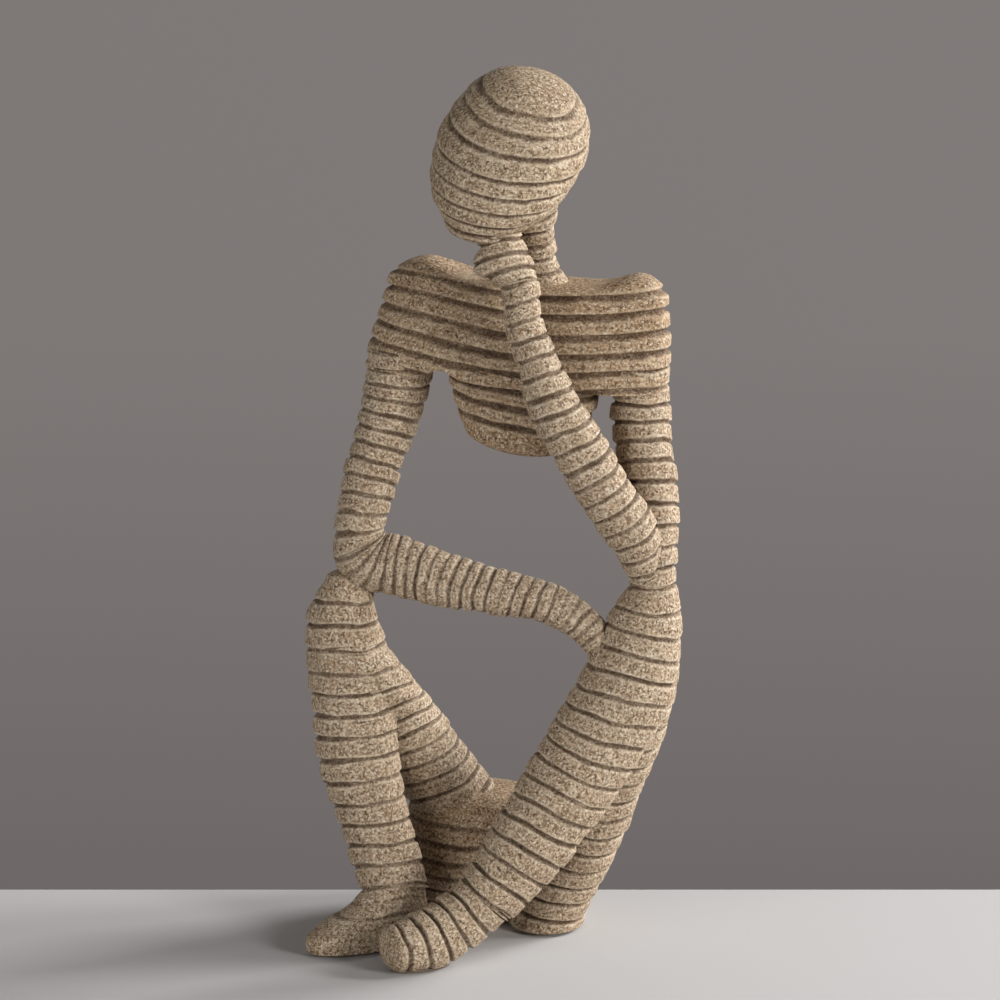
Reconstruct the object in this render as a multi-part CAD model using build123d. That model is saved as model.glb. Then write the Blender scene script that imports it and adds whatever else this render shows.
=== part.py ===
"""Seated thinker ornament: banded castings, glued on locating pins, standing on felt pads.

Millimetres, +Z up. The display front faces -Y and the origin is the middle of the resting face.
Right and left are the figure's own sides, so the figure's right side lies at -X.
"""

from build123d import *
import os
from math import cos, pi, sin

import numpy as np

# Overall sizes, which every place of the pose follows
figure_breadth = 109.0
figure_depth = 88.0
figure_height = 253.0

# Bands and the grooves between them
groove_width = 1.5
groove_depth = 1.3
groove_draft = 0.25

# Thickest breadth and depth of each casting
right_arm_breadth = 20.6
right_arm_depth = 20.8
left_upper_arm_breadth = 17.8
left_upper_arm_depth = 20.0
left_forearm_breadth = 17.2
left_forearm_depth = 18.0
right_leg_breadth = 25.0
right_leg_depth = 24.0
left_leg_breadth = 27.2
left_leg_depth = 25.0
right_thigh_breadth = 25.0
right_thigh_depth = 26.0
left_thigh_breadth = 24.0
left_thigh_depth = 28.0
pelvis_breadth = 52.0
pelvis_depth = 40.0
yoke_breadth = 88.0
yoke_depth = 31.0
ribcage_breadth = 46.0
ribcage_depth = 31.0
neck_breadth = 19.0
neck_depth = 17.0
head_breadth = 42.0
head_depth = 46.0
right_foot_length = 42.0
right_foot_breadth = 19.0

# Heights of the rounded ends
crown_height = 6.0
chin_height = 3.5
rib_tip_height = 5.0
pelvis_cap_height = 4.5
fist_cap_height = 3.0
elbow_cap_height = 2.0
knee_cap_height = 3.0
toe_cap_height = 4.0
right_shoulder_cap_height = 5.0
left_shoulder_cap_height = 7.0

# Round shoulder caps
shoulder_cap_breadth = 31.0
shoulder_cap_depth = 20.0

# Glued seats, pins and pads
seat_clearance = 0.2
pin_diameter = 2.5
pin_length = 10.0
bore_clearance = 0.1
pad_thickness = 1.0
right_pad_length = 37.0
right_pad_breadth = 15.0
left_pad_length = 18.0
left_pad_breadth = 8.4
seat_pad_length = 44.0
seat_pad_breadth = 16.0

# Counts of bands
right_upper_arm_bands = 11
right_forearm_bands = 17
left_upper_arm_bands = 10
left_forearm_bands = 17
left_hand_bands = 3
right_shin_bands = 14
left_shin_bands = 16
left_foot_bands = 5
right_thigh_bands = 14
left_thigh_bands = 19
pelvis_bands = 5
yoke_bands = 5
ribcage_bands = 4
neck_bands = 6
head_bands = 8
hand_steps = 6
dome_steps = 7
oval_points = 20
envelope_steps = 9
path_steps = 40

# How square the chest ovals are: 2 is an ellipse
yoke_squareness = 2.7

# The chest faces a little to its right and leans forward: its depth axis and its band direction
level = (0.0, 1.0, 0.0)
chest_turn = (0.26, 0.96, 0.0)
chest_facing_shares = (0.02, -0.13, 0.99)
arm_facing_shares = (-0.02, 0.13, -0.99)

# Centres of the flat underside and the flat top of the yoke, and the height of the knees' flat tops
yoke_underside_shares = (0.072, 0.068, 0.653)
yoke_top_shares = (0.096, 0.091, 0.753)
right_knee_top_share = 0.420
left_knee_top_share = 0.421


def on_yoke(face_shares, across_share, deep_share):
    """Place shares of a point on the yoke's underside or top, which lean with the chest."""
    lean_across, lean_deep, upright = chest_facing_shares
    across = (across_share - face_shares[0]) * figure_breadth
    deep = (deep_share - face_shares[1]) * figure_depth
    drop = (lean_across * across + lean_deep * deep) / upright
    return (across_share, deep_share, face_shares[2] - drop / figure_height)


# Rows of each casting: centre as shares of the figure's breadth, depth and height, then breadth and
# depth as shares of the casting's thickest, then the direction in which the band faces
right_arm_shares = (
    (on_yoke(yoke_underside_shares, -0.243, 0.148), (1.00, 1.00), arm_facing_shares),
    ((-0.278, 0.114, 0.597), (0.93, 0.96), (-0.25, -0.15, -0.95)),
    ((-0.313, 0.080, 0.553), (0.86, 0.90), (-0.25, -0.20, -0.95)),
    ((-0.336, 0.045, 0.510), (0.83, 0.87), (-0.15, -0.15, -0.97)),
    ((-0.352, 0.023, 0.481), (0.78, 0.87), (0.00, 0.00, -1.00)),
    ((-0.353, 0.011, 0.458), (0.87, 0.90), (0.50, 0.00, -0.87)),
    ((-0.320, -0.006, 0.442), (0.90, 0.90), (0.87, -0.05, -0.50)),
    ((-0.282, -0.017, 0.439), (0.85, 0.87), (0.98, -0.10, -0.20)),
    ((-0.139, -0.057, 0.424), (0.76, 0.77), (0.96, -0.18, -0.22)),
    ((0.018, -0.091, 0.409), (0.64, 0.67), (0.96, -0.15, -0.22)),
    ((0.150, -0.114, 0.397), (0.56, 0.60), (0.93, -0.10, -0.35)),
    ((0.236, -0.125, 0.377), (0.55, 0.58), (0.78, -0.05, -0.62)),
    ((0.298, -0.125, 0.344), (0.48, 0.53), (0.65, 0.00, -0.76)),
)
left_upper_arm_shares = (
    (on_yoke(yoke_underside_shares, 0.388, 0.023), (1.00, 1.00), arm_facing_shares),
    ((0.401, -0.011, 0.593), (0.93, 0.95), (0.08, -0.15, -0.98)),
    ((0.414, -0.045, 0.549), (0.90, 0.90), (0.08, -0.20, -0.97)),
    ((0.421, -0.080, 0.505), (0.88, 0.90), (0.00, -0.10, -1.00)),
    ((0.416, -0.102, 0.467), (0.88, 0.90), (0.00, 0.00, -1.00)),
    ((0.424, -0.114, left_knee_top_share), (0.71, 0.70), (0.00, 0.00, -1.00)),
)
left_forearm_shares = (
    ((0.394, -0.148, 0.441), (0.65, 0.72), (-0.40, -0.20, 0.90)),
    ((0.372, -0.165, 0.471), (0.95, 1.00), (-0.45, -0.20, 0.87)),
    ((0.295, -0.199, 0.529), (0.93, 1.00), (-0.50, -0.15, 0.85)),
    ((0.228, -0.216, 0.581), (0.93, 0.96), (-0.48, -0.05, 0.87)),
    ((0.152, -0.222, 0.636), (0.87, 0.89), (-0.40, 0.00, 0.92)),
    ((0.114, -0.210, 0.680), (0.77, 0.78), (-0.33, 0.08, 0.94)),
    ((0.077, -0.193, 0.725), (0.73, 0.72), (-0.20, 0.12, 0.97)),
    ((0.067, -0.176, 0.764), (0.73, 0.72), (-0.20, 0.18, 0.96)),
    ((0.046, -0.159, 0.789), (1.00, 0.89), (-0.20, 0.25, 0.95)),
    ((0.035, -0.142, 0.809), (0.81, 0.78), (-0.20, 0.25, 0.95)),
)
right_leg_shares = (
    ((-0.370, 0.011, right_knee_top_share), (0.55, 0.57), (0.00, 0.00, -1.00)),
    ((-0.390, 0.023, 0.387), (0.82, 0.88), (0.00, 0.00, -1.00)),
    ((-0.385, 0.023, 0.336), (1.00, 1.00), (0.05, 0.00, -1.00)),
    ((-0.368, 0.011, 0.277), (0.98, 0.96), (0.10, -0.05, -1.00)),
    ((-0.352, 0.000, 0.208), (0.96, 0.92), (0.12, -0.10, -1.00)),
    ((-0.328, -0.011, 0.161), (0.88, 0.88), (0.14, -0.15, -1.00)),
    ((-0.294, -0.034, 0.105), (0.88, 0.83), (0.12, -0.25, -1.00)),
    ((-0.265, -0.057, 0.062), (0.86, 0.83), (0.08, -0.35, -1.00)),
)
left_leg_shares = (
    ((0.424, -0.114, left_knee_top_share), (0.46, 0.56), (0.00, 0.00, -1.00)),
    ((0.408, -0.119, 0.396), (0.71, 0.80), (0.00, 0.00, -1.00)),
    ((0.388, -0.125, 0.359), (0.88, 0.96), (-0.06, 0.00, -1.00)),
    ((0.346, -0.148, 0.302), (0.95, 1.00), (-0.16, 0.00, -1.00)),
    ((0.275, -0.170, 0.247), (1.00, 1.00), (-0.30, 0.00, -0.95)),
    ((0.183, -0.205, 0.185), (0.93, 0.96), (-0.42, -0.05, -0.90)),
    ((0.083, -0.239, 0.124), (0.85, 0.88), (-0.52, -0.10, -0.84)),
    ((-0.021, -0.273, 0.070), (0.71, 0.80), (-0.64, -0.18, -0.74)),
    ((-0.099, -0.307, 0.044), (0.68, 0.76), (-0.76, -0.28, -0.58)),
    ((-0.177, -0.364, 0.027), (0.61, 0.72), (-0.86, -0.38, -0.34)),
    ((-0.248, -0.415, 0.020), (0.42, 0.60), (-0.90, -0.42, -0.10)),
)
right_thigh_shares = (
    ((-0.388, 0.045, 0.396), (0.58, 0.54), (0.00, 0.00, -1.00)),
    ((-0.370, 0.080, 0.340), (0.80, 0.81), (0.12, 0.00, -1.00)),
    ((-0.315, 0.110, 0.293), (0.96, 0.88), (0.22, 0.00, -1.00)),
    ((-0.245, 0.165, 0.239), (1.00, 0.92), (0.30, 0.00, -0.95)),
    ((-0.138, 0.250, 0.164), (1.00, 1.00), (0.40, 0.10, -0.90)),
    ((-0.037, 0.318, 0.090), (0.94, 1.00), (0.50, 0.20, -0.85)),
)
left_thigh_shares = (
    ((0.408, -0.068, 0.396), (0.62, 0.50), (0.00, 0.00, -1.00)),
    ((0.397, -0.034, 0.332), (0.86, 0.75), (-0.05, 0.10, -1.00)),
    ((0.353, 0.011, 0.245), (0.92, 0.86), (-0.08, 0.20, -1.00)),
    ((0.303, 0.045, 0.178), (0.90, 0.93), (-0.10, 0.14, -1.00)),
    ((0.243, 0.075, 0.099), (0.90, 1.00), (-0.10, 0.12, -1.00)),
    ((0.174, 0.105, 0.032), (1.00, 1.00), (-0.10, 0.10, -1.00)),
    ((0.147, 0.115, -0.021), (1.00, 1.00), (-0.10, 0.10, -1.00)),
)
pelvis_shares = (
    ((-0.009, 0.273, -0.010), (0.80, 0.80), (0.00, 0.00, 1.00)),
    ((-0.009, 0.273, 0.047), (1.00, 1.00), (0.00, 0.00, 1.00)),
    ((0.000, 0.273, 0.095), (0.96, 1.00), (0.00, 0.00, 1.00)),
    ((0.018, 0.273, 0.132), (0.77, 0.84), (0.00, 0.00, 1.00)),
)
yoke_shares = (
    (yoke_underside_shares, (0.99, 1.00), chest_facing_shares),
    ((0.076, 0.074, 0.688), (1.00, 0.97), chest_facing_shares),
    ((0.083, 0.085, 0.719), (0.98, 0.87), chest_facing_shares),
    (yoke_top_shares, (0.92, 0.71), chest_facing_shares),
)
ribcage_shares = (
    (on_yoke(yoke_underside_shares, 0.085, 0.068), (1.00, 1.00), arm_facing_shares),
    ((0.080, 0.057, 0.629), (0.90, 0.97), arm_facing_shares),
    ((0.072, 0.045, 0.605), (0.76, 0.90), arm_facing_shares),
    ((0.064, 0.034, 0.586), (0.60, 0.76), arm_facing_shares),
)
neck_shares = (
    (on_yoke(yoke_top_shares, 0.124, 0.091), (1.00, 1.00), chest_facing_shares),
    ((0.123, 0.074, 0.773), (0.63, 0.76), (-0.05, -0.20, 0.98)),
    ((0.117, 0.040, 0.809), (0.55, 0.71), (-0.12, -0.35, 0.93)),
    ((0.106, 0.006, 0.834), (0.60, 0.74), (-0.15, -0.40, 0.90)),
    ((0.090, -0.030, 0.855), (0.60, 0.74), (-0.15, -0.40, 0.90)),
)
head_shares = (
    ((-0.030, -0.105, 0.825), (0.52, 0.46), (0.14, -0.10, 1.00)),
    ((-0.008, -0.084, 0.853), (0.82, 0.76), (0.16, -0.14, 1.00)),
    ((0.014, -0.060, 0.880), (0.95, 0.93), (0.18, -0.18, 1.00)),
    ((0.037, -0.045, 0.904), (1.00, 1.00), (0.19, -0.22, 1.00)),
    ((0.060, -0.034, 0.927), (0.97, 0.96), (0.20, -0.26, 1.00)),
    ((0.082, -0.023, 0.951), (0.87, 0.85), (0.22, -0.32, 1.00)),
    ((0.094, -0.017, 0.968), (0.72, 0.68), (0.24, -0.38, 1.00)),
)

# Rows of the arm and leg runs at which one casting ends and the next begins
elbow_row = 5
right_wrist_row = 10
left_wrist_row = 7
left_ankle_row = 7

# Flat faces on which two castings are glued: a point on the face and the way it looks
right_elbow_seat_shares = ((-0.356, -0.030, right_knee_top_share), (0.00, 0.00, 1.00))
left_elbow_seat_shares = ((0.378, -0.157, 0.469), (-0.75, -0.66, 0.00))
right_knee_seat_shares = ((-0.325, 0.081, 0.315), (0.67, 0.74, 0.13))
left_knee_seat_shares = ((0.340, -0.080, 0.279), (0.40, 0.92, -0.14))
right_hip_seat_shares = ((-0.092, 0.280, 0.140), (0.55, 0.30, -0.78))
left_hip_seat_shares = ((0.115, 0.170, 0.047), (-0.90, 0.45, 0.32))

# Places of the shoulder caps across the chest, and of the right foot's sections from ankle to sole:
# centre, length and breadth shares
right_cap_share = -0.28
left_cap_share = 0.28
cap_lean_share = 0.6
right_foot_direction = (-0.86, -0.51, 0.0)
right_foot_shares = (
    ((-0.285, -0.085, 0.037), (0.62, 1.10)),
    ((-0.318, -0.125, 0.021), (0.84, 1.05)),
    ((-0.330, -0.136, 0.008), (0.98, 1.00)),
    ((-0.330, -0.136, -0.004), (0.96, 0.95)),
)

# Felt pads on the floor: middle, and the way that the length runs
right_pad_shares = (-0.330, -0.136, 0)
left_pad_shares = (-0.190, -0.373, 0)
seat_pad_shares = (0.055, 0.205, 0)
left_pad_direction = (-0.90, -0.43, 0.0)
seat_pad_direction = (0.83, -0.56, 0.0)


def placed(shares):
    """Point of the figure from shares of its breadth, depth and height."""
    across, deep, up = shares
    return Vector(across * figure_breadth, deep * figure_depth, up * figure_height)


def oval(plane, half_breadth, half_depth, squareness=2):
    """Face of an ellipse, or of a squarer oval, on a plane."""
    if squareness == 2:
        return plane * Ellipse(half_breadth, half_depth)
    points = []
    for step in range(oval_points):
        angle = 2 * pi * step / oval_points
        across = np.sign(cos(angle)) * abs(cos(angle)) ** (2 / squareness)
        deep = np.sign(sin(angle)) * abs(sin(angle)) ** (2 / squareness)
        points.append((half_breadth * across, half_depth * deep))
    return plane * make_face(Spline(*points, periodic=True))


def curve_through(rows, steps):
    """Rows of a smooth curve that passes through the given rows, with steps between each pair."""
    gaps = np.linalg.norm(np.diff(rows[:, :3], axis=0), axis=1)[:, None]
    slopes = np.diff(rows, axis=0) / gaps
    inner = (slopes[:-1] * gaps[1:] + slopes[1:] * gaps[:-1]) / (gaps[:-1] + gaps[1:])
    slants = np.vstack([slopes[0], inner, slopes[-1]])
    t = np.linspace(0, 1, steps, endpoint=False)[:, None]
    rise = t * t * (3 - 2 * t)
    spans = []
    for first, last, gap, lead, trail in zip(rows, rows[1:], gaps, slants, slants[1:]):
        bend = gap * (lead * t * (1 - t) ** 2 - trail * t * t * (1 - t))
        spans.append(first * (1 - rise) + last * rise + bend)
    return np.vstack([*spans, rows[-1]])


class Run:
    """A run of oval sections along a smooth path, from which banded castings are lofted."""

    def __init__(self, rows, breadth, depth, depth_axis=level, squareness=2):
        sizes = (figure_breadth, figure_depth, figure_height, breadth / 2, depth / 2, 1, 1, 1)
        flat = np.array([sum(row, ()) for row in rows]) * np.array(sizes)
        self.table = curve_through(flat, path_steps)
        moves = np.linalg.norm(np.diff(self.table[:, :3], axis=0), axis=1)
        self.lengths = np.concatenate([[0], np.cumsum(moves)])
        self.depth_axis = Vector(depth_axis)
        self.squareness = squareness

    def at_row(self, row):
        """Length along the path at a row of the table, counted from the end where it is -1."""
        return float(self.lengths[::path_steps][row])

    def plane(self, length):
        """Plane of the section at a length along the path, with X across and Y in depth."""
        values = [float(np.interp(length, self.lengths, column)) for column in self.table.T]
        facing = Vector(*values[5:]).normalized()
        return Plane(origin=values[:3], x_dir=self.depth_axis.cross(facing) * -1, z_dir=facing)

    def seat(self, row):
        """Plane of the section at a row of the table."""
        return self.plane(self.at_row(row))

    def halves(self, length):
        """Half breadth and half depth of the section at a length along the path."""
        return [float(np.interp(length, self.lengths, self.table[:, column])) for column in (3, 4)]

    def section(self, length, inset=0):
        """Oval section at a length along the path, drawn in by an inset."""
        half_breadth, half_depth = self.halves(length)
        return oval(self.plane(length), half_breadth - inset, half_depth - inset, self.squareness)

    def dome(self, length, height):
        """Sections of a rounded end, from the full section outwards."""
        plane = self.plane(length)
        half_breadth, half_depth = self.halves(length)
        sections = []
        for step in range(dome_steps):
            angle = pi / 2 * step / dome_steps
            top = plane.offset(height * sin(angle))
            sections.append(oval(top, half_breadth * cos(angle), half_depth * cos(angle), self.squareness))
        return sections

    def envelope(self, first, last, clearance):
        """Smooth solid round the bands between two rows, with a clearance."""
        lengths = np.linspace(self.at_row(first), self.at_row(last), envelope_steps)
        return loft([self.section(float(length), -clearance) for length in lengths])

    def casting(self, first, last, bands, start_dome=None, end_dome=None, steps=1):
        """Banded solid between two rows. An end is a groove's floor, flat at a dome of 0, or a dome."""
        start, end = self.at_row(first), self.at_row(last)
        pitch = (end - start) / bands
        half_groove = groove_width / 2
        sections = []
        if start_dome is None:
            sections.append(self.section(start, groove_depth))
        elif start_dome:
            sections += self.dome(start, -start_dome)[:0:-1]
        for band in range(bands):
            low = start + band * pitch
            high = low + pitch
            opens = band > 0 or start_dome is None
            closes = band < bands - 1 or end_dome is None
            edge = low + half_groove * opens
            rim = high - half_groove * closes
            if opens:
                sections.append(self.section(edge - groove_draft, groove_depth))
            sections += [self.section(edge + (rim - edge) * step / steps) for step in range(steps + 1)]
            if closes:
                sections.append(self.section(rim + groove_draft, groove_depth))
        if end_dome is None:
            sections.append(self.section(end, groove_depth))
        elif end_dome:
            sections += self.dome(end, end_dome)[1:]
        return loft(sections, ruled=True)


def seat_plane(shares):
    """Plane of a glued seat from a point's shares and the way that the seat looks."""
    point, facing = shares
    return Plane(origin=placed(point), z_dir=facing)


def side_of(plane, sign=1):
    """Block that fills one side of a plane, larger than the figure."""
    reach = 2 * figure_height
    return plane * Pos(0, 0, sign * reach / 2) * Box(reach, reach, reach)


def shoulder_cap(yoke, share, height):
    """Shoulder on the flat top of the yoke, steep on its outer side and sloping towards the neck."""
    top = yoke.seat(-1)
    outwards = top.x_dir * np.sign(share)
    middle = top.origin + top.x_dir * share * yoke_breadth
    sections = []
    for step in range(dome_steps):
        angle = pi / 2 * step / dome_steps
        half_breadth = shoulder_cap_breadth / 2 * cos(angle)
        half_depth = shoulder_cap_depth / 2 * cos(angle)
        lean = outwards * cap_lean_share * (shoulder_cap_breadth / 2 - half_breadth)
        centre = middle + lean + top.z_dir * height * sin(angle)
        plane = Plane(origin=centre, x_dir=top.x_dir, z_dir=top.z_dir)
        sections.append(oval(plane, half_breadth, half_depth))
    return loft(sections, ruled=True)


def right_foot_casting(leg):
    """Foot with a flat sole, from the seat at the end of the leg down past the pad."""
    sections = [leg.section(leg.at_row(-1), groove_depth)]
    for place, (length_share, breadth_share) in right_foot_shares:
        plane = Plane(origin=placed(place), x_dir=right_foot_direction, z_dir=(0, 0, -1))
        half_length = right_foot_length / 2 * length_share
        sections.append(oval(plane, half_length, right_foot_breadth / 2 * breadth_share))
    return loft(sections)


def felt_pad(middle_shares, direction, length, breadth):
    """Oval pad that stands on the floor."""
    plane = Plane(origin=placed(middle_shares), x_dir=direction, z_dir=(0, 0, 1))
    return extrude(oval(plane, length / 2, breadth / 2), amount=pad_thickness)


right_arm = Run(right_arm_shares, right_arm_breadth, right_arm_depth)
left_upper = Run(left_upper_arm_shares, left_upper_arm_breadth, left_upper_arm_depth)
left_fore = Run(left_forearm_shares, left_forearm_breadth, left_forearm_depth)
right_leg = Run(right_leg_shares, right_leg_breadth, right_leg_depth)
left_leg = Run(left_leg_shares, left_leg_breadth, left_leg_depth)
right_hip = Run(right_thigh_shares, right_thigh_breadth, right_thigh_depth)
left_hip = Run(left_thigh_shares, left_thigh_breadth, left_thigh_depth)
seat_block = Run(pelvis_shares, pelvis_breadth, pelvis_depth)
chest = Run(yoke_shares, yoke_breadth, yoke_depth, chest_turn, yoke_squareness)
ribs = Run(ribcage_shares, ribcage_breadth, ribcage_depth, chest_turn)
throat = Run(neck_shares, neck_breadth, neck_depth)
skull = Run(head_shares, head_breadth, head_depth)

elbow_seat = seat_plane(right_elbow_seat_shares)
left_elbow_seat = seat_plane(left_elbow_seat_shares)
right_knee_seat = seat_plane(right_knee_seat_shares)
left_knee_seat = seat_plane(left_knee_seat_shares)
right_hip_seat = seat_plane(right_hip_seat_shares)
left_hip_seat = seat_plane(left_hip_seat_shares)
floor_side = side_of(Plane.XY.offset(pad_thickness), -1)

pieces = {}

# Arms
pieces["right_upper_arm"] = right_arm.casting(0, elbow_row, right_upper_arm_bands)
pieces["right_forearm"] = right_arm.casting(elbow_row, right_wrist_row, right_forearm_bands)
pieces["right_hand"] = right_arm.casting(right_wrist_row, -1, 1, end_dome=0, steps=hand_steps)
pieces["left_upper_arm"] = left_upper.casting(0, -1, left_upper_arm_bands) - side_of(left_elbow_seat)
pieces["left_forearm"] = left_fore.casting(0, left_wrist_row, left_forearm_bands, start_dome=elbow_cap_height)
pieces["left_forearm"] -= side_of(left_elbow_seat, -1)
pieces["left_hand"] = left_fore.casting(left_wrist_row, -1, left_hand_bands, end_dome=fist_cap_height)

# Legs and seat
pieces["right_shin"] = right_leg.casting(0, -1, right_shin_bands) - side_of(right_knee_seat)
pieces["right_forearm"] -= pieces["right_shin"]
pieces["left_shin"] = left_leg.casting(0, left_ankle_row, left_shin_bands) - side_of(left_knee_seat)
pieces["left_shin"] -= pieces["right_hand"]
pieces["right_foot"] = right_foot_casting(right_leg) - floor_side
pieces["left_foot"] = left_leg.casting(left_ankle_row, -1, left_foot_bands, end_dome=toe_cap_height)
pieces["left_foot"] -= floor_side
pieces["right_thigh"] = right_hip.casting(0, -1, right_thigh_bands, knee_cap_height, 0)
pieces["right_thigh"] -= side_of(right_knee_seat, -1)
pieces["right_thigh"] -= side_of(right_hip_seat)
pieces["left_thigh"] = left_hip.casting(0, -1, left_thigh_bands, knee_cap_height, 0)
pieces["left_thigh"] -= side_of(left_knee_seat, -1)
pieces["left_thigh"] -= side_of(left_hip_seat)
pieces["left_thigh"] -= floor_side
pieces["pelvis"] = seat_block.casting(0, -1, pelvis_bands, 0, pelvis_cap_height)
pieces["pelvis"] -= side_of(right_hip_seat, -1)
pieces["pelvis"] -= side_of(left_hip_seat, -1)
pieces["pelvis"] -= floor_side

# Chest, neck and head
forearm_cradle = left_fore.envelope(1, left_wrist_row, seat_clearance)
pieces["shoulder_yoke"] = chest.casting(0, -1, yoke_bands, end_dome=0)
pieces["shoulder_yoke"] += shoulder_cap(chest, right_cap_share, right_shoulder_cap_height)
pieces["shoulder_yoke"] += shoulder_cap(chest, left_cap_share, left_shoulder_cap_height)
pieces["ribcage"] = ribs.casting(0, -1, ribcage_bands, end_dome=rib_tip_height) - forearm_cradle
pieces["shoulder_yoke"] -= forearm_cradle
pieces["neck"] = throat.casting(0, -1, neck_bands, end_dome=0)
pieces["shoulder_yoke"] -= pieces["neck"]
pieces["head"] = skull.casting(0, -1, head_bands, chin_height, crown_height)
pieces["head"] -= pieces["neck"]
pieces["head"] -= pieces["left_hand"]

# Felt pads
right_pad_sizes = (right_pad_length, right_pad_breadth)
left_pad_sizes = (left_pad_length, left_pad_breadth)
seat_pad_sizes = (seat_pad_length, seat_pad_breadth)
pieces["right_foot_pad"] = felt_pad(right_pad_shares, right_foot_direction, *right_pad_sizes)
pieces["left_foot_pad"] = felt_pad(left_pad_shares, left_pad_direction, *left_pad_sizes)
pieces["seat_pad"] = felt_pad(seat_pad_shares, seat_pad_direction, *seat_pad_sizes)

# Locating pins: the middle and direction of each, and the two castings that it joins
pin_places = (
    (throat.seat(0), "neck", "shoulder_yoke"),
    (throat.seat(-1), "neck", "head"),
    (ribs.seat(0), "ribcage", "shoulder_yoke"),
    (right_arm.seat(0), "right_upper_arm", "shoulder_yoke"),
    (right_arm.seat(elbow_row), "right_upper_arm", "right_forearm"),
    (elbow_seat, "right_forearm", "right_shin"),
    (right_arm.seat(right_wrist_row), "right_forearm", "right_hand"),
    (right_arm.seat(-1), "right_hand", "left_shin"),
    (left_upper.seat(0), "left_upper_arm", "shoulder_yoke"),
    (left_upper.seat(-1), "left_upper_arm", "left_shin"),
    (left_elbow_seat, "left_upper_arm", "left_forearm"),
    (left_fore.seat(left_wrist_row), "left_forearm", "left_hand"),
    (left_fore.seat(-1).offset(fist_cap_height), "left_hand", "head"),
    (right_knee_seat, "right_shin", "right_thigh"),
    (left_knee_seat, "left_shin", "left_thigh"),
    (right_hip_seat, "right_thigh", "pelvis"),
    (left_hip_seat, "left_thigh", "pelvis"),
    (right_leg.seat(-1), "right_shin", "right_foot"),
    (left_leg.seat(left_ankle_row), "left_shin", "left_foot"),
)
pins = []
for place, first, second in pin_places:
    bore = place * Cylinder(pin_diameter / 2 + bore_clearance, pin_length + 2 * bore_clearance)
    pieces[first] -= bore
    pieces[second] -= bore
    pins.append(place * Cylinder(pin_diameter / 2, pin_length))
pieces["dowel_pins"] = Compound(children=pins)

os.makedirs("parts", exist_ok=True)
for node, shape in pieces.items():
    export_step(shape, f"parts/{node}.step")
    print(node, round(shape.volume, 1), shape.is_valid, len(shape.solids()), len(shape.faces()))
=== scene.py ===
"""Dress of the seated thinker ornament: carved sandstone castings on felt pads, in a plain studio.

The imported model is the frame. Sizes below are in millimetres and go into the meshes in metres.
Right and left are the figure's own sides, so the figure's right side lies at -X.
"""
import logging
from dataclasses import dataclass
from enum import Enum
from functools import cache
from itertools import product
from typing import Any

import bpy
import numpy as np
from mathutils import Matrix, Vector


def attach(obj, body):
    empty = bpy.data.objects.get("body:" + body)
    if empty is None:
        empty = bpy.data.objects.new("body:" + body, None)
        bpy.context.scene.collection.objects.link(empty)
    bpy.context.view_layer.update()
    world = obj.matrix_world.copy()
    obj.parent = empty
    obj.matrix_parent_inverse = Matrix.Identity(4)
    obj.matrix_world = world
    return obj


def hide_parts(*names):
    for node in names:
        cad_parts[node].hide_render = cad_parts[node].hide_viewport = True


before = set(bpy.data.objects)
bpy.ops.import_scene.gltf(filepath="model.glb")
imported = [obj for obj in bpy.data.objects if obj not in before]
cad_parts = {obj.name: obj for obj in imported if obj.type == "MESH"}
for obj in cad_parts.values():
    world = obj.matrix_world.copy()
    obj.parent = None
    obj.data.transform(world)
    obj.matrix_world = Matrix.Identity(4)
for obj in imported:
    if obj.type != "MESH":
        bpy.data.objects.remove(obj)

LOG = logging.getLogger("thinker")
MM = 0.001
FIGURE_SIZES = (109.0, 88.0, 253.0)
FLOOR_SEAT = 1.0
SEAT_SOFTNESS = 0.4
FADE = 3.0
FAR = 1000.0
LATTICE = 32
SENSOR = 36.0

Row = tuple[tuple[float, float, float], tuple[float, float], tuple[float, float, float]]
Tint = tuple[int, int, int]

# Rows of the castings: centre as shares of the figure's breadth, depth and height, then breadth and
# depth as shares of the thickest section, then the direction in which the band faces
RIGHT_ARM_ROWS: tuple[Row, ...] = (
    ((-0.243, 0.148, 0.659), (1.00, 1.00), (-0.02, 0.13, -0.99)),
    ((-0.278, 0.114, 0.597), (0.93, 0.96), (-0.25, -0.15, -0.95)),
    ((-0.313, 0.080, 0.553), (0.86, 0.90), (-0.25, -0.20, -0.95)),
    ((-0.336, 0.045, 0.510), (0.83, 0.87), (-0.15, -0.15, -0.97)),
    ((-0.352, 0.023, 0.481), (0.78, 0.87), (0.00, 0.00, -1.00)),
    ((-0.353, 0.011, 0.458), (0.87, 0.90), (0.50, 0.00, -0.87)),
    ((-0.320, -0.006, 0.442), (0.90, 0.90), (0.87, -0.05, -0.50)),
    ((-0.282, -0.017, 0.440), (0.91, 0.90), (0.98, -0.10, -0.20)),
    ((-0.139, -0.057, 0.4245), (0.82, 0.81), (0.96, -0.18, -0.22)),
    ((0.018, -0.091, 0.411), (0.69, 0.71), (0.96, -0.15, -0.22)),
    ((0.150, -0.114, 0.399), (0.60, 0.64), (0.93, -0.10, -0.35)),
    ((0.236, -0.125, 0.377), (0.55, 0.58), (0.78, -0.05, -0.62)),
    ((0.298, -0.125, 0.344), (0.48, 0.53), (0.65, 0.00, -0.76)),
)
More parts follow.
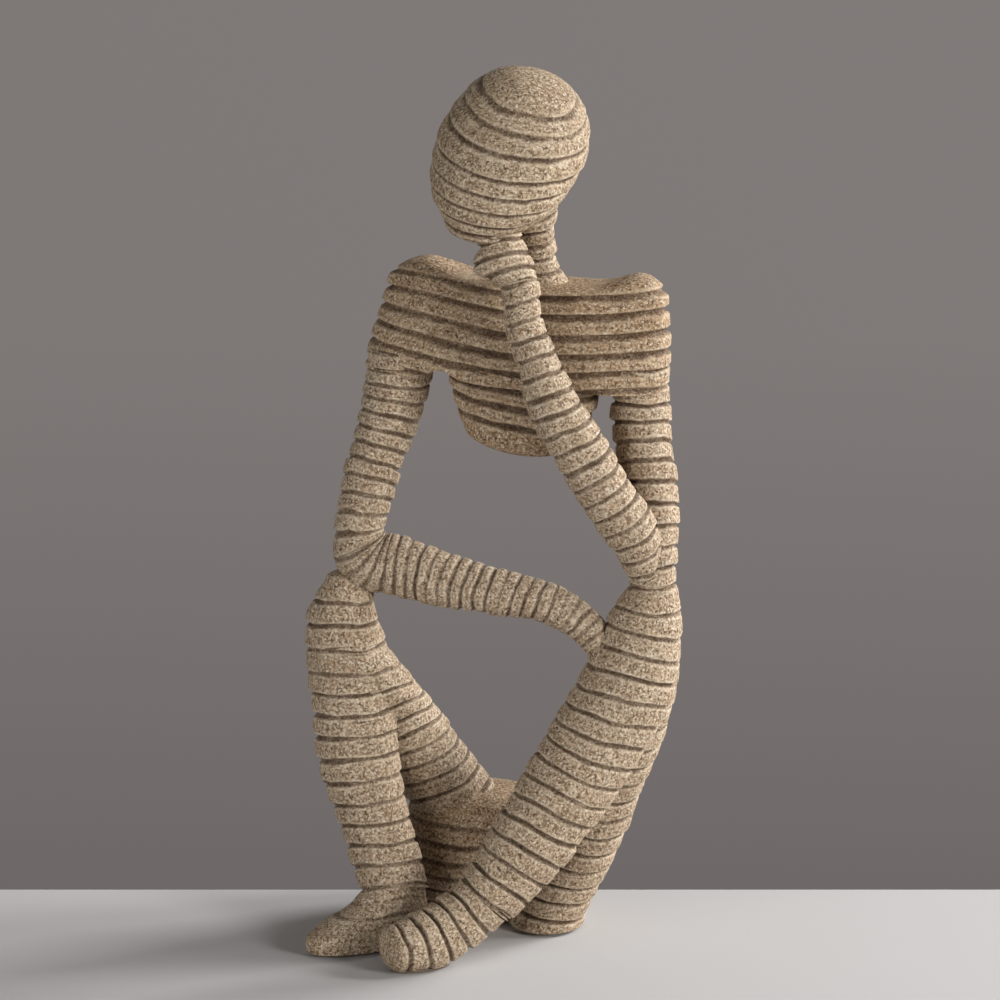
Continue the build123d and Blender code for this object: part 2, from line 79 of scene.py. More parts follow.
LEFT_UPPER_ARM_ROWS: tuple[Row, ...] = (
    ((0.388, -0.018, 0.648), (1.00, 1.12), (-0.02, 0.13, -0.99)),
    ((0.388, -0.026, 0.593), (1.05, 1.02), (0.08, -0.15, -0.98)),
    ((0.402, -0.045, 0.549), (1.01, 0.93), (0.08, -0.20, -0.97)),
    ((0.417, -0.080, 0.505), (0.93, 0.91), (0.00, -0.10, -1.00)),
    ((0.416, -0.102, 0.467), (0.88, 0.90), (0.00, 0.00, -1.00)),
    ((0.420, -0.114, 0.421), (0.82, 0.76), (0.00, 0.00, -1.00)),
)
LEFT_FOREARM_ROWS: tuple[Row, ...] = (
    ((0.394, -0.148, 0.441), (0.65, 0.72), (-0.40, -0.20, 0.90)),
    ((0.377, -0.165, 0.471), (0.93, 1.00), (-0.45, -0.20, 0.87)),
    ((0.295, -0.199, 0.529), (1.00, 1.02), (-0.50, -0.15, 0.85)),
    ((0.225, -0.216, 0.581), (1.02, 1.00), (-0.48, -0.05, 0.87)),
    ((0.150, -0.222, 0.636), (0.92, 0.92), (-0.40, 0.00, 0.92)),
    ((0.114, -0.210, 0.680), (0.77, 0.78), (-0.33, 0.08, 0.94)),
    ((0.077, -0.193, 0.725), (0.73, 0.72), (-0.20, 0.12, 0.97)),
    ((0.067, -0.176, 0.764), (0.73, 0.72), (-0.20, 0.18, 0.96)),
    ((0.022, -0.159, 0.789), (1.08, 0.92), (-0.20, 0.25, 0.95)),
    ((0.020, -0.142, 0.809), (0.84, 0.80), (-0.20, 0.25, 0.95)),
)
RIGHT_LEG_ROWS: tuple[Row, ...] = (
    ((-0.378, 0.011, 0.420), (0.60, 0.60), (0.00, 0.00, -1.00)),
    ((-0.401, 0.023, 0.387), (0.82, 0.88), (0.00, 0.00, -1.00)),
    ((-0.388, 0.023, 0.336), (1.01, 1.00), (0.05, 0.00, -1.00)),
    ((-0.374, 0.011, 0.277), (1.02, 0.97), (0.10, -0.05, -1.00)),
    ((-0.358, 0.000, 0.208), (1.01, 0.94), (0.12, -0.10, -1.00)),
    ((-0.332, -0.011, 0.161), (0.93, 0.90), (0.14, -0.15, -1.00)),
    ((-0.294, -0.034, 0.105), (0.88, 0.83), (0.12, -0.25, -1.00)),
    ((-0.265, -0.057, 0.062), (0.86, 0.83), (0.08, -0.35, -1.00)),
)
LEFT_LEG_ROWS: tuple[Row, ...] = (
    ((0.420, -0.114, 0.421), (0.55, 0.58), (0.00, 0.00, -1.00)),
    ((0.406, -0.119, 0.396), (0.75, 0.80), (-0.08, 0.00, -1.00)),
    ((0.388, -0.125, 0.359), (0.93, 0.96), (-0.20, 0.00, -1.00)),
    ((0.345, -0.148, 0.302), (1.04, 1.02), (-0.26, 0.00, -1.00)),
    ((0.273, -0.170, 0.247), (1.08, 1.03), (-0.34, 0.00, -0.95)),
    ((0.181, -0.205, 0.185), (1.00, 0.99), (-0.43, -0.05, -0.90)),
    ((0.082, -0.239, 0.124), (0.90, 0.90), (-0.52, -0.10, -0.84)),
    ((-0.021, -0.273, 0.071), (0.73, 0.82), (-0.64, -0.18, -0.74)),
    ((-0.099, -0.305, 0.046), (0.70, 0.79), (-0.76, -0.28, -0.58)),
    ((-0.177, -0.356, 0.030), (0.70, 0.80), (-0.86, -0.38, -0.34)),
    ((-0.246, -0.395, 0.025), (0.56, 0.74), (-0.90, -0.42, -0.10)),
)
RIGHT_THIGH_ROWS: tuple[Row, ...] = (
    ((-0.390, 0.045, 0.396), (0.58, 0.54), (0.00, 0.00, -1.00)),
    ((-0.373, 0.030, 0.340), (0.80, 1.00), (0.12, 0.00, -1.00)),
    ((-0.318, 0.060, 0.293), (0.96, 1.00), (0.22, 0.00, -1.00)),
    ((-0.247, 0.150, 0.239), (1.00, 0.98), (0.30, 0.00, -0.95)),
    ((-0.140, 0.235, 0.164), (1.02, 1.03), (0.40, 0.10, -0.90)),
    ((-0.037, 0.305, 0.092), (1.00, 1.02), (0.50, 0.20, -0.85)),
)
LEFT_THIGH_ROWS: tuple[Row, ...] = (
    ((0.408, -0.068, 0.396), (0.62, 0.50), (0.00, 0.00, -1.00)),
    ((0.398, -0.034, 0.332), (0.91, 0.77), (-0.05, 0.10, -1.00)),
    ((0.360, 0.011, 0.245), (0.97, 0.88), (-0.08, 0.20, -1.00)),
    ((0.308, 0.045, 0.178), (0.95, 0.95), (-0.10, 0.14, -1.00)),
    ((0.240, 0.075, 0.099), (0.93, 1.00), (-0.10, 0.12, -1.00)),
    ((0.162, 0.105, 0.032), (0.97, 1.00), (-0.10, 0.10, -1.00)),
    ((0.125, 0.115, -0.021), (0.92, 1.00), (-0.10, 0.10, -1.00)),
)
PELVIS_ROWS: tuple[Row, ...] = (
    ((-0.009, 0.273, -0.010), (0.80, 0.80), (0.00, 0.00, 1.00)),
    ((-0.009, 0.273, 0.047), (1.00, 1.00), (0.00, 0.00, 1.00)),
    ((-0.010, 0.273, 0.098), (1.03, 1.00), (0.03, 0.00, 1.00)),
    ((0.000, 0.273, 0.136), (0.93, 0.88), (0.12, 0.00, 1.00)),
)
YOKE_ROWS: tuple[Row, ...] = (
    ((0.072, 0.068, 0.653), (0.99, 1.00), (0.02, -0.13, 0.99)),
    ((0.076, 0.074, 0.688), (1.00, 0.97), (0.02, -0.13, 0.99)),
    ((0.083, 0.085, 0.719), (0.98, 0.87), (0.02, -0.13, 0.99)),
    ((0.090, 0.091, 0.753), (0.94, 0.72), (0.02, -0.13, 0.99)),
)
RIBCAGE_ROWS: tuple[Row, ...] = (
    ((0.085, 0.068, 0.653), (1.00, 1.00), (-0.10, 0.13, -0.98)),
    ((0.078, 0.057, 0.629), (0.97, 0.99), (-0.14, 0.13, -0.97)),
    ((0.070, 0.045, 0.605), (0.85, 0.92), (-0.16, 0.13, -0.97)),
    ((0.061, 0.034, 0.585), (0.69, 0.79), (-0.16, 0.13, -0.97)),
)
NECK_ROWS: tuple[Row, ...] = (
    ((0.124, 0.091, 0.753), (1.00, 1.00), (0.02, -0.13, 0.99)),
    ((0.121, 0.070, 0.773), (0.74, 0.82), (-0.05, -0.20, 0.98)),
    ((0.113, 0.034, 0.809), (0.62, 0.78), (-0.12, -0.30, 0.94)),
    ((0.106, 0.000, 0.834), (0.76, 0.90), (-0.10, -0.30, 0.94)),
    ((0.090, -0.030, 0.855), (1.05, 1.10), (-0.05, -0.30, 0.94)),
)
HEAD_ROWS: tuple[Row, ...] = (
    ((-0.028, -0.105, 0.825), (0.52, 0.46), (0.14, -0.24, 1.00)),
    ((-0.005, -0.084, 0.853), (0.82, 0.76), (0.15, -0.32, 1.00)),
    ((0.018, -0.060, 0.880), (0.97, 0.93), (0.16, -0.38, 1.00)),
    ((0.040, -0.045, 0.904), (1.03, 1.00), (0.17, -0.41, 1.00)),
    ((0.061, -0.034, 0.927), (1.02, 0.98), (0.17, -0.43, 1.00)),
    ((0.079, -0.023, 0.950), (0.92, 0.89), (0.18, -0.45, 1.00)),
    ((0.089, -0.017, 0.967), (0.77, 0.73), (0.19, -0.47, 1.00)),
)
RIGHT_FOOT_ROWS: tuple[Row, ...] = (
    ((-0.265, -0.057, 0.062), (0.46, 0.93), (0.08, -0.35, -1.00)),
    ((-0.284, -0.082, 0.044), (0.60, 1.08), (0.04, -0.15, -1.00)),
    ((-0.312, -0.112, 0.031), (0.84, 1.10), (0.00, 0.00, -1.00)),
    ((-0.327, -0.132, 0.020), (0.98, 1.08), (0.00, 0.00, -1.00)),
    ((-0.330, -0.136, 0.0055), (0.96, 0.99), (0.00, 0.00, -1.00)),
)


def linear(tint: Tint) -> tuple[float, float, float, float]:
    """Linear colour of a display tint: each channel is raised to the power 2.2."""
    red, green, blue = (float((level / 255) ** 2.2) for level in tint)
    return (red, green, blue, 1.0)


def smooth_rows(rows: np.ndarray, steps: int) -> np.ndarray:
    """Rows of a smooth curve through the given rows.

    Each pair of rows is joined by a cubic whose slope at a row is the mean of the slopes of the two
    spans there, each weighted by the length of the other span.

    Args:
        rows: Table of values, whose first three columns are the place.
        steps: Count of steps between each pair of rows.

    Returns:
        The finer table, with the last row at its end.
    """
    gaps = np.linalg.norm(np.diff(rows[:, :3], axis=0), axis=1)[:, None]
    slopes = np.diff(rows, axis=0) / gaps
    inner = (slopes[:-1] * gaps[1:] + slopes[1:] * gaps[:-1]) / (gaps[:-1] + gaps[1:])
    slants = np.vstack([slopes[0], inner, slopes[-1]])
    t = np.linspace(0, 1, steps, endpoint=False)[None, :, None]
    rise = t * t * (3 - 2 * t)
    bend = gaps[:, None] * (slants[:-1, None] * t * (1 - t) ** 2 - slants[1:, None] * t * t * (1 - t))
    spans = rows[:-1, None] * (1 - rise) + rows[1:, None] * rise + bend
    return np.vstack([spans.reshape(-1, rows.shape[1]), rows[-1]])


def ramp(values: np.ndarray, low: float, high: float) -> np.ndarray:
    """Soft step from 0 at low to 1 at high: t squared times three minus two t."""
    t = np.clip((values - low) / (high - low), 0, 1)
    return t * t * (3 - 2 * t)


def rough(points: np.ndarray, cell: float, seed: int) -> np.ndarray:
    """Smooth random relief from -1 to 1 at points in space.

    Random values stand on a lattice of cubes, and each point takes the softly weighted mean of the
    eight corners of its cube.

    Args:
        points: Places, with x, y and z on the last axis.
        cell: Size of a cube in millimetres.
        seed: Number of the lattice.

    Returns:
        One value for each point.
    """
    lattice = np.random.default_rng(seed).uniform(-1, 1, (LATTICE,) * 3)
    where = points / cell
    low = np.floor(where).astype(int)
    part = where - low
    part = part * part * (3 - 2 * part)
    total = np.zeros(points.shape[:-1])
    for corner in product((0, 1), repeat=3):
        weight = np.prod(np.where(np.array(corner) == 1, part, 1 - part), axis=-1)
        across, deep, up = np.moveaxis((low + corner) % LATTICE, -1, 0)
        total += lattice[across, deep, up] * weight
    return total


class Cut(Enum):
    """Ways in which the bands are carved."""

    PLATE = "flat bands with thin crisp grooves"
    HOSE = "round bands like a hose"
    SHINGLE = "bands whose lower edge overhangs the next"
    CHEST = "broad bands with wide grooves"
    SEAT = "worn bands with shallow grooves"
    SMOOTH = "faint lines on a smooth skin"


@dataclass(frozen=True)
class Carving:
    """Sizes of a way of carving, in millimetres.

    Attributes:
        half_width: Half width of a groove.
        depth: Depth of a groove.
        crown: Fall of a band's edges below its middle.
        lead: How far a band's lower edge stands proud of its upper one.
        step: Greatest difference of height between two bands.
        wander: How far a groove strays from its plane.
        tooling: Height of the soft hand-worked unevenness.
        sharpness: Power that makes a groove's walls steep.
        faintest: Strength of the faintest groove, where 1 is the strongest.
    """

    half_width: float
    depth: float
    crown: float
    lead: float
    step: float
    wander: float
    tooling: float
    sharpness: float
    faintest: float


CARVINGS: dict[Cut, Carving] = {
    Cut.PLATE: Carving(0.62, 1.70, 0.28, 0.35, 0.75, 0.75, 0.26, 4.5, 0.75),
    Cut.HOSE: Carving(0.52, 1.00, 0.50, 0.0, 0.50, 0.60, 0.26, 3.0, 0.35),
    Cut.SHINGLE: Carving(0.66, 1.25, 0.35, 0.80, 0.35, 0.85, 0.24, 3.4, 0.75),
    Cut.CHEST: Carving(0.80, 1.90, 0.38, 0.20, 0.50, 0.90, 0.28, 3.2, 0.85),
    Cut.SEAT: Carving(0.66, 1.40, 0.25, 0.30, 0.80, 1.30, 0.40, 3.0, 0.5),
    Cut.SMOOTH: Carving(0.50, 0.55, 0.20, 0.0, 0.20, 0.80, 0.28, 3.0, 0.25),
}


@dataclass(frozen=True)
class Handwork:
    """How unevenly the castings are worked by hand, at four scales from coarse to grit.

    Attributes:
        cells: Size of the unevenness at each scale, in millimetres.
        waves: Count of waves of a groove round its section.
        phases: Range of the waves' phases.
        twist: Greatest turn of the waves for each millimetre along the spine.
        course: Shares of a groove's wander that follow the waves and the coarse scale.
        jitter: Stray of a groove at the middle and small scales, in millimetres.
        width: Change of a groove's width at the three larger scales.
        fading: Change of a groove's strength with the coarse scale.
        heave: Change of a band's height with the coarse scale.
        bottom: Share of a groove's depth everywhere, and its change with the coarse scale.
        surface: Height of each scale on the surface, as a share of the tooling.
        sink: How far the surface is set back, as a share of the tooling.
        edge: Place and width of the pale edge, a painted highlight, in half widths of the groove.
    """

    cells: tuple[float, ...] = (9.0, 4.1, 1.9, 1.0)
    waves: int = 5
    phases: float = 6.28
    twist: float = 0.16
    course: tuple[float, float] = (0.5, 0.4)
    jitter: tuple[float, float] = (0.14, 0.10)
    width: tuple[float, ...] = (0.22, 0.18, 0.12)
    fading: float = 0.35
    heave: float = 0.3
    bottom: tuple[float, float] = (0.9, 0.25)
    surface: tuple[float, ...] = (0.55, 0.5, 0.4, 0.3)
    sink: float = 0.9
    edge: tuple[float, float] = (1.7, 0.6)


HAND = Handwork()


@dataclass(frozen=True)
class Cap:
    """Closed end of a casting.

    Attributes:
        height: Rise of the end past its last section.
        squareness: How square the profile is, where 2 is a round dome.
        rings: Count of rings.
        lean: Angle at which the profile starts, where 0 stands upright on the section.
    """

    height: float
    squareness: float = 2.0
    rings: int = 14
    lean: float = 0.0


FLAT = Cap(0.5, 6.0, 10)


@dataclass
class Sections:
    """Oval sections along a path: centres, the two axes, the facing direction and the half sizes."""

    centre: np.ndarray
    across: np.ndarray
    deep: np.ndarray
    facing: np.ndarray
    halves: np.ndarray


@dataclass
class Spine:
    """Smooth path of oval sections through a table of rows."""

    rows: tuple[Row, ...]
    breadth: float
    depth: float
    depth_axis: tuple[float, float, float] = (0.0, 1.0, 0.0)
    steps: int = 40

    def __post_init__(self) -> None:
        """Work out the fine table and the lengths along it."""
        sizes = np.array([*FIGURE_SIZES, self.breadth / 2, self.depth / 2, 1, 1, 1])
        self.table = smooth_rows(np.array([sum(row, ()) for row in self.rows]) * sizes, self.steps)
        moves = np.linalg.norm(np.diff(self.table[:, :3], axis=0), axis=1)
        self.lengths = np.concatenate([[0.0], np.cumsum(moves)])

    def at_row(self, row: float) -> float:
        """Length along the path at a row of the table, where parts of rows count too."""
        return float(np.interp(row * self.steps, np.arange(len(self.lengths)), self.lengths))

    def sections(self, along: np.ndarray) -> Sections:
        """Sections at lengths along the path, which runs straight on past its ends.

        Args:
            along: Lengths in millimetres.

        Returns:
            The sections there.
        """
        values = np.stack([np.interp(along, self.lengths, column) for column in self.table.T], axis=-1)
        facing = values[:, 5:] / np.linalg.norm(values[:, 5:], axis=1)[:, None]
        across = np.cross(facing, np.array(self.depth_axis))
        across /= np.linalg.norm(across, axis=1)[:, None]
        past = along - np.clip(along, 0, self.lengths[-1])
        centre = values[:, :3] + facing * past[:, None]
        return Sections(centre, across, np.cross(facing, across), facing, values[:, 3:5])


@dataclass(frozen=True)
class StoneFinish:
    """Sandstone-effect resin: tints of the body, its mottle, its pale band edges, a painted highlight, and
    the grime and painted shade in its grooves.
    """

    name: str
    stone: Tint
    mottle: Tint
    pale: Tint
    # Tint in the grooves: real grime plus painted shade in the recesses.
    groove_grime_and_shade: Tint
    bump: float = 0.55
    grain_height: float = 0.4
    gloss: float = 0.3

    @cache
    def make(self) -> bpy.types.Material:
        """Material of the finish, built once.

        Returns:
            The material.
        """
        material, maker, shader = blank_material(self.name)
        groove = maker.add("ShaderNodeAttribute", attribute_name="groove")
        edge = maker.add("ShaderNodeAttribute", attribute_name="edge")
        stone = maker.add("ShaderNodeGroup", node_tree=sandstone_grain())
        tints = {"Stone": self.stone, "Mottle": self.mottle, "Pale": self.pale, "GrooveGrimeAndShade": self.groove_grime_and_shade}
        for socket, tint in tints.items():
            stone.inputs[socket].default_value = linear(tint)
        maker.link(groove.outputs["Fac"], stone.inputs["Groove"])
        maker.link(edge.outputs["Fac"], stone.inputs["Edge"])
        maker.link(stone.outputs["Color"], shader.inputs["Base Color"])
        maker.link(stone.outputs["Roughness"], shader.inputs["Roughness"])
        maker.link(maker.bump(stone.outputs["Height"], self.bump, self.grain_height), shader.inputs["Normal"])
        shader.inputs["Specular IOR Level"].default_value = self.gloss
        return material


class NodeMaker:
    """Short hand for putting nodes into a tree."""

    def __init__(self, tree: bpy.types.NodeTree) -> None:
        """Keep the tree."""
        self.tree = tree

    def add(self, kind: str, **settings: Any) -> bpy.types.Node:
        """New node of a kind, with its settings.

        Args:
            kind: Blender's name of the node type.
            settings: Properties of the node.

        Returns:
            The node.
        """
        node = self.tree.nodes.new(kind)
        for key, value in settings.items():
            setattr(node, key, value)
        return node

    def link(self, source: Any, target: bpy.types.NodeSocket) -> None:
        """Join a source to a socket, or set the socket to it.

        Args:
            source: Another socket, a number or a tint.
            target: The socket.
        """
        if isinstance(source, bpy.types.NodeSocket):
            self.tree.links.new(source, target)
        else:
            target.default_value = linear(source) if isinstance(source, tuple) else source

    def noise(self, place: bpy.types.NodeSocket, scale: float, detail: float) -> bpy.types.NodeSocket:
        """Noise in space.

        Args:
            place: Coordinates.
            scale: Fineness per metre.
            detail: Count of finer layers.

        Returns:
            A value from 0 to 1.
        """
        node = self.add("ShaderNodeTexNoise")
        node.inputs["Scale"].default_value = scale
        node.inputs["Detail"].default_value = detail
        self.link(place, node.inputs["Vector"])
        return node.outputs["Fac"]

    def span(self, value: bpy.types.NodeSocket, low: float, high: float, start: float = 0.0,
             end: float = 1.0) -> bpy.types.NodeSocket:
        """Value from low to high stretched to start and end, and held there outside.

        Args:
            value: The value.
            low: Value that becomes the start.
            high: Value that becomes the end.
            start: Lowest result.
            end: Highest result.

        Returns:
            The stretched value.
        """
        node = self.add("ShaderNodeMapRange")
        for socket, level in zip(("From Min", "From Max", "To Min", "To Max"), (low, high, start, end)):
            node.inputs[socket].default_value = level
        self.link(value, node.inputs["Value"])
        return node.outputs["Result"]

    def math(self, operation: str, first: bpy.types.NodeSocket, second: Any) -> bpy.types.NodeSocket:
        """Result of an operation on two values.

        Args:
            operation: Blender's name of the operation.
            first: First value.
            second: Second value, a socket or a number.

        Returns:
            The result.
        """
        node = self.add("ShaderNodeMath", operation=operation)
        self.link(first, node.inputs[0])
        self.link(second, node.inputs[1])
        return node.outputs[0]

    def bump(self, height: bpy.types.NodeSocket, strength: float, rise: float) -> bpy.types.NodeSocket:
        """Normal of a surface with fine relief.

        Args:
            height: Height from 0 to 1.
            strength: Strength of the effect.
            rise: Height in millimetres at 1.

        Returns:
            The normal.
        """
        node = self.add("ShaderNodeBump")
        node.inputs["Strength"].default_value = strength
        node.inputs["Distance"].default_value = rise * MM
        self.link(height, node.inputs["Height"])
        return node.outputs["Normal"]

    def mix(self, share: Any, first: Any, second: Any, blend: str = "MIX") -> bpy.types.NodeSocket:
        """Colour between two colours, each a socket or a tint, by a share.

        Args:
            share: Share of the second colour, a socket or a number.
            first: Colour at a share of 0.
            second: Colour at a share of 1.
            blend: Blender's name of the blend.

        Returns:
            The mixed colour.
        """
        node = self.add("ShaderNodeMix", data_type="RGBA", blend_type=blend)
        self.link(share, node.inputs[0])
        self.link(first, node.inputs[6])
        self.link(second, node.inputs[7])
        return node.outputs[2]


def blank_material(name: str) -> tuple[bpy.types.Material, NodeMaker, bpy.types.Node]:
    """New material with one shader.

    Args:
        name: Name of the material.

    Returns:
        The material, its node maker and the shader.
    """
    material = bpy.data.materials.new(name)
    material.use_nodes = True
    maker = NodeMaker(material.node_tree)
    return material, maker, material.node_tree.nodes["Principled BSDF"]


# Grains of sand: fineness per metre, least noise at which one shows, tint and strength
GRAINS: tuple[tuple[float, float, Tint, float], ...] = (
    (1350.0, 0.58, (86, 64, 45), 0.75),
    (850.0, 0.64, (76, 54, 37), 0.75),
    (1000.0, 0.66, (158, 106, 76), 0.45),
    (1550.0, 0.60, (224, 212, 192), 0.70),
)
GRAIN_EDGE = 0.05
# Noises of the stone: fineness per metre and count of finer layers, from broad patches to fine grit
STONE_NOISES: tuple[tuple[float, float], ...] = ((75.0, 4.0), (260.0, 3.0), (1150.0, 2.0), (3200.0, 2.0))
SHADE_TINT: Tint = (172, 162, 151)
WHITE: Tint = (255, 255, 255)


@cache
def sandstone_grain() -> bpy.types.NodeTree:
    """Shader group of the sandstone effect, built once.

    The body tint is mottled by broad noise, grained by fine noise, dotted with dark and pale grains of
    sand, darkened in the grooves by grime and painted shade, and made paler along the band edges by a
    painted highlight.

    Returns:
        The node group.
    """
    tree = bpy.data.node_groups.new("sandstone_grain", "ShaderNodeTree")
    for name in ("Stone", "Mottle", "Pale", "GrooveGrimeAndShade"):
        tree.interface.new_socket(name, in_out="INPUT", socket_type="NodeSocketColor")
    for name in ("Groove", "Edge"):
        tree.interface.new_socket(name, in_out="INPUT", socket_type="NodeSocketFloat")
    tree.interface.new_socket("Color", in_out="OUTPUT", socket_type="NodeSocketColor")
    for name in ("Roughness", "Height"):
        tree.interface.new_socket(name, in_out="OUTPUT", socket_type="NodeSocketFloat")
    maker = NodeMaker(tree)
    given = maker.add("NodeGroupInput").outputs
    place = maker.add("ShaderNodeTexCoord").outputs["Object"]
    broad, patch, grain, fine = (maker.noise(place, *fineness) for fineness in STONE_NOISES)
    mottle = maker.math("MULTIPLY", maker.span(broad, 0.38, 0.68), 0.75)
    colour = maker.mix(mottle, given["Stone"], given["Mottle"])
    colour = maker.mix(maker.math("MULTIPLY", maker.span(patch, 0.55, 0.8), 0.45), colour, given["Pale"])
    shade = maker.mix(maker.span(grain, 0.36, 0.64), SHADE_TINT, WHITE)
    colour = maker.mix(1.0, colour, shade, "MULTIPLY")
    for scale, least, tint, most in GRAINS:
        dots = maker.span(maker.noise(place, scale, 1.0), least, least + GRAIN_EDGE, 0.0, most)
        colour = maker.mix(dots, colour, tint)
    # Painted highlight: the band edges beside each groove are made paler in the colour.
    worn = maker.math("MULTIPLY", given["Edge"], maker.span(patch, 0.35, 0.65, 0.1, 0.55))
    colour = maker.mix(worn, colour, given["Pale"])
    # Painted shade with real grime: the grooves are darkened towards the groove tint.
    grime_and_shade_share = maker.math("MULTIPLY", given["Groove"], maker.span(patch, 0.25, 0.7, 0.95, 0.6))
    colour = maker.mix(grime_and_shade_share, colour, given["GrooveGrimeAndShade"])
    height = maker.math("ADD", maker.math("MULTIPLY", grain, 0.6), maker.math("MULTIPLY", fine, 0.4))
    out = maker.add("NodeGroupOutput").inputs
    maker.link(colour, out["Color"])
    maker.link(maker.span(grain, 0.3, 0.7, 0.72, 0.92), out["Roughness"])
    maker.link(height, out["Height"])
    return tree


@dataclass(frozen=True)
class FeltFinish:
    """Pressed felt: a dark brown with paler fibres."""

    name: str = "pressed_felt"
    wool: Tint = (104, 90, 76)
    fibre: Tint = (136, 122, 106)
    stretch: tuple[float, float, float] = (1.0, 5.0, 1.0)
    turn: tuple[float, float, float] = (0.0, 0.0, 0.6)
    strands: tuple[float, float] = (900.0, 6.0)
    lumps: tuple[float, float] = (500.0, 4.0)
    bump: float = 0.8
    nap: float = 0.4

    @cache
    def make(self) -> bpy.types.Material:
        """Material of the felt, built once: stretched noise for fibres, over soft lumps.

        Returns:
            The material.
        """
        material, maker, shader = blank_material(self.name)
        place = maker.add("ShaderNodeTexCoord").outputs["Object"]
        combed = maker.add("ShaderNodeMapping")
        combed.inputs["Scale"].default_value = self.stretch
        combed.inputs["Rotation"].default_value = self.turn
        maker.link(place, combed.inputs["Vector"])
        strands = maker.noise(combed.outputs["Vector"], *self.strands)
        lumps = maker.noise(place, *self.lumps)
        colour = maker.mix(maker.span(strands, 0.4, 0.7), self.wool, self.fibre)
        maker.link(colour, shader.inputs["Base Color"])
        normal = maker.bump(maker.math("ADD", strands, lumps), self.bump, self.nap)
        maker.link(normal, shader.inputs["Normal"])
        maker.link(maker.span(lumps, 0.3, 0.7, 0.9, 1.0), shader.inputs["Roughness"])
        return material


@dataclass(frozen=True)
class SteelFinish:
    """Ground steel of the locating pins: fine lines along a bright metal."""

    name: str = "ground_steel"
    bright: Tint = (196, 198, 202)
    dull: Tint = (150, 152, 156)
    stretch: tuple[float, float, float] = (1.0, 1.0, 0.05)
    lines: tuple[float, float] = (3000.0, 3.0)

    @cache
    def make(self) -> bpy.types.Material:
        """Material of the steel, built once: noise drawn out into fine lines.

        Returns:
            The material.
        """
        material, maker, shader = blank_material(self.name)
        place = maker.add("ShaderNodeTexCoord").outputs["Object"]
        drawn = maker.add("ShaderNodeMapping")
        drawn.inputs["Scale"].default_value = self.stretch
        maker.link(place, drawn.inputs["Vector"])
        lines = maker.noise(drawn.outputs["Vector"], *self.lines)
        colour = maker.mix(maker.span(lines, 0.35, 0.65), self.dull, self.bright)
        maker.link(colour, shader.inputs["Base Color"])
        maker.link(maker.span(lines, 0.3, 0.7, 0.22, 0.42), shader.inputs["Roughness"])
        shader.inputs["Metallic"].default_value = 1.0
        return material


LIMB_STONE = StoneFinish("limb_sandstone", (198, 177, 150), (178, 154, 126), (220, 204, 180), (62, 42, 26))
# Darker, warmer copy of the limb stone for the chest and seat: painted shade.
BODY_PAINTED_SHADE_STONE = StoneFinish("body_painted_shade_sandstone", (190, 164, 133), (170, 142, 110), (212, 191, 162), (54, 34, 19))
# Darker copy of the limb stone for the bowed head: painted shade.
HEAD_PAINTED_SHADE_STONE = StoneFinish("head_painted_shade_sandstone", (191, 170, 142), (171, 148, 119), (215, 197, 171), (58, 38, 23))
SKIN_STONE = StoneFinish("smooth_sandstone", (198, 177, 150), (178, 155, 127), (220, 204, 180), (74, 52, 34))


def add_mesh(name: str, points: np.ndarray, poles: np.ndarray,
             fields: dict[str, np.ndarray]) -> bpy.types.Object:
    """Closed mesh object of a grid whose columns go round and whose ends meet in two poles.

    Args:
        name: Name of the object.
        points: Grid of places in millimetres, rows by columns by three.
        poles: The two closing points.
        fields: Values on the grid, kept as attributes of the mesh.

    Returns:
        The object, linked into the scene.
    """
    rows, columns = points.shape[:2]
    index = np.arange(rows * columns).reshape(rows, columns)
    after = np.roll(index, -1, axis=1)
    quads = np.stack([index[:-1], after[:-1], after[1:], index[1:]], axis=-1).reshape(-1, 4)
    first = np.stack([np.full(columns, rows * columns), after[0], index[0]], axis=-1)
    last = np.stack([index[-1], after[-1], np.full(columns, rows * columns + 1)], axis=-1)
    corners = np.concatenate([quads.ravel(), first.ravel(), last.ravel()]).astype(np.int32)
    counts = np.concatenate([np.full(len(quads), 4), np.full(2 * columns, 3)])
    starts = np.concatenate([[0], np.cumsum(counts)[:-1]]).astype(np.int32)
    places = np.concatenate([points.reshape(-1, 3), poles]) * MM
    mesh = bpy.data.meshes.new(name)
    mesh.vertices.add(len(places))
    mesh.vertices.foreach_set("co", places.astype(np.float32).ravel())
    mesh.loops.add(len(corners))
    mesh.loops.foreach_set("vertex_index", corners)
    mesh.polygons.add(len(starts))
    mesh.polygons.foreach_set("loop_start", starts)
    mesh.update(calc_edges=True)
    mesh.shade_smooth()
    for field_name, values in fields.items():
        ends = [values[0].mean(), values[-1].mean()]
        attribute = mesh.attributes.new(field_name, "FLOAT", "POINT")
        attribute.data.foreach_set("value", np.concatenate([values.ravel(), ends]).astype(np.float32))
    piece = bpy.data.objects.new(name, mesh)
    bpy.context.collection.objects.link(piece)
    return piece


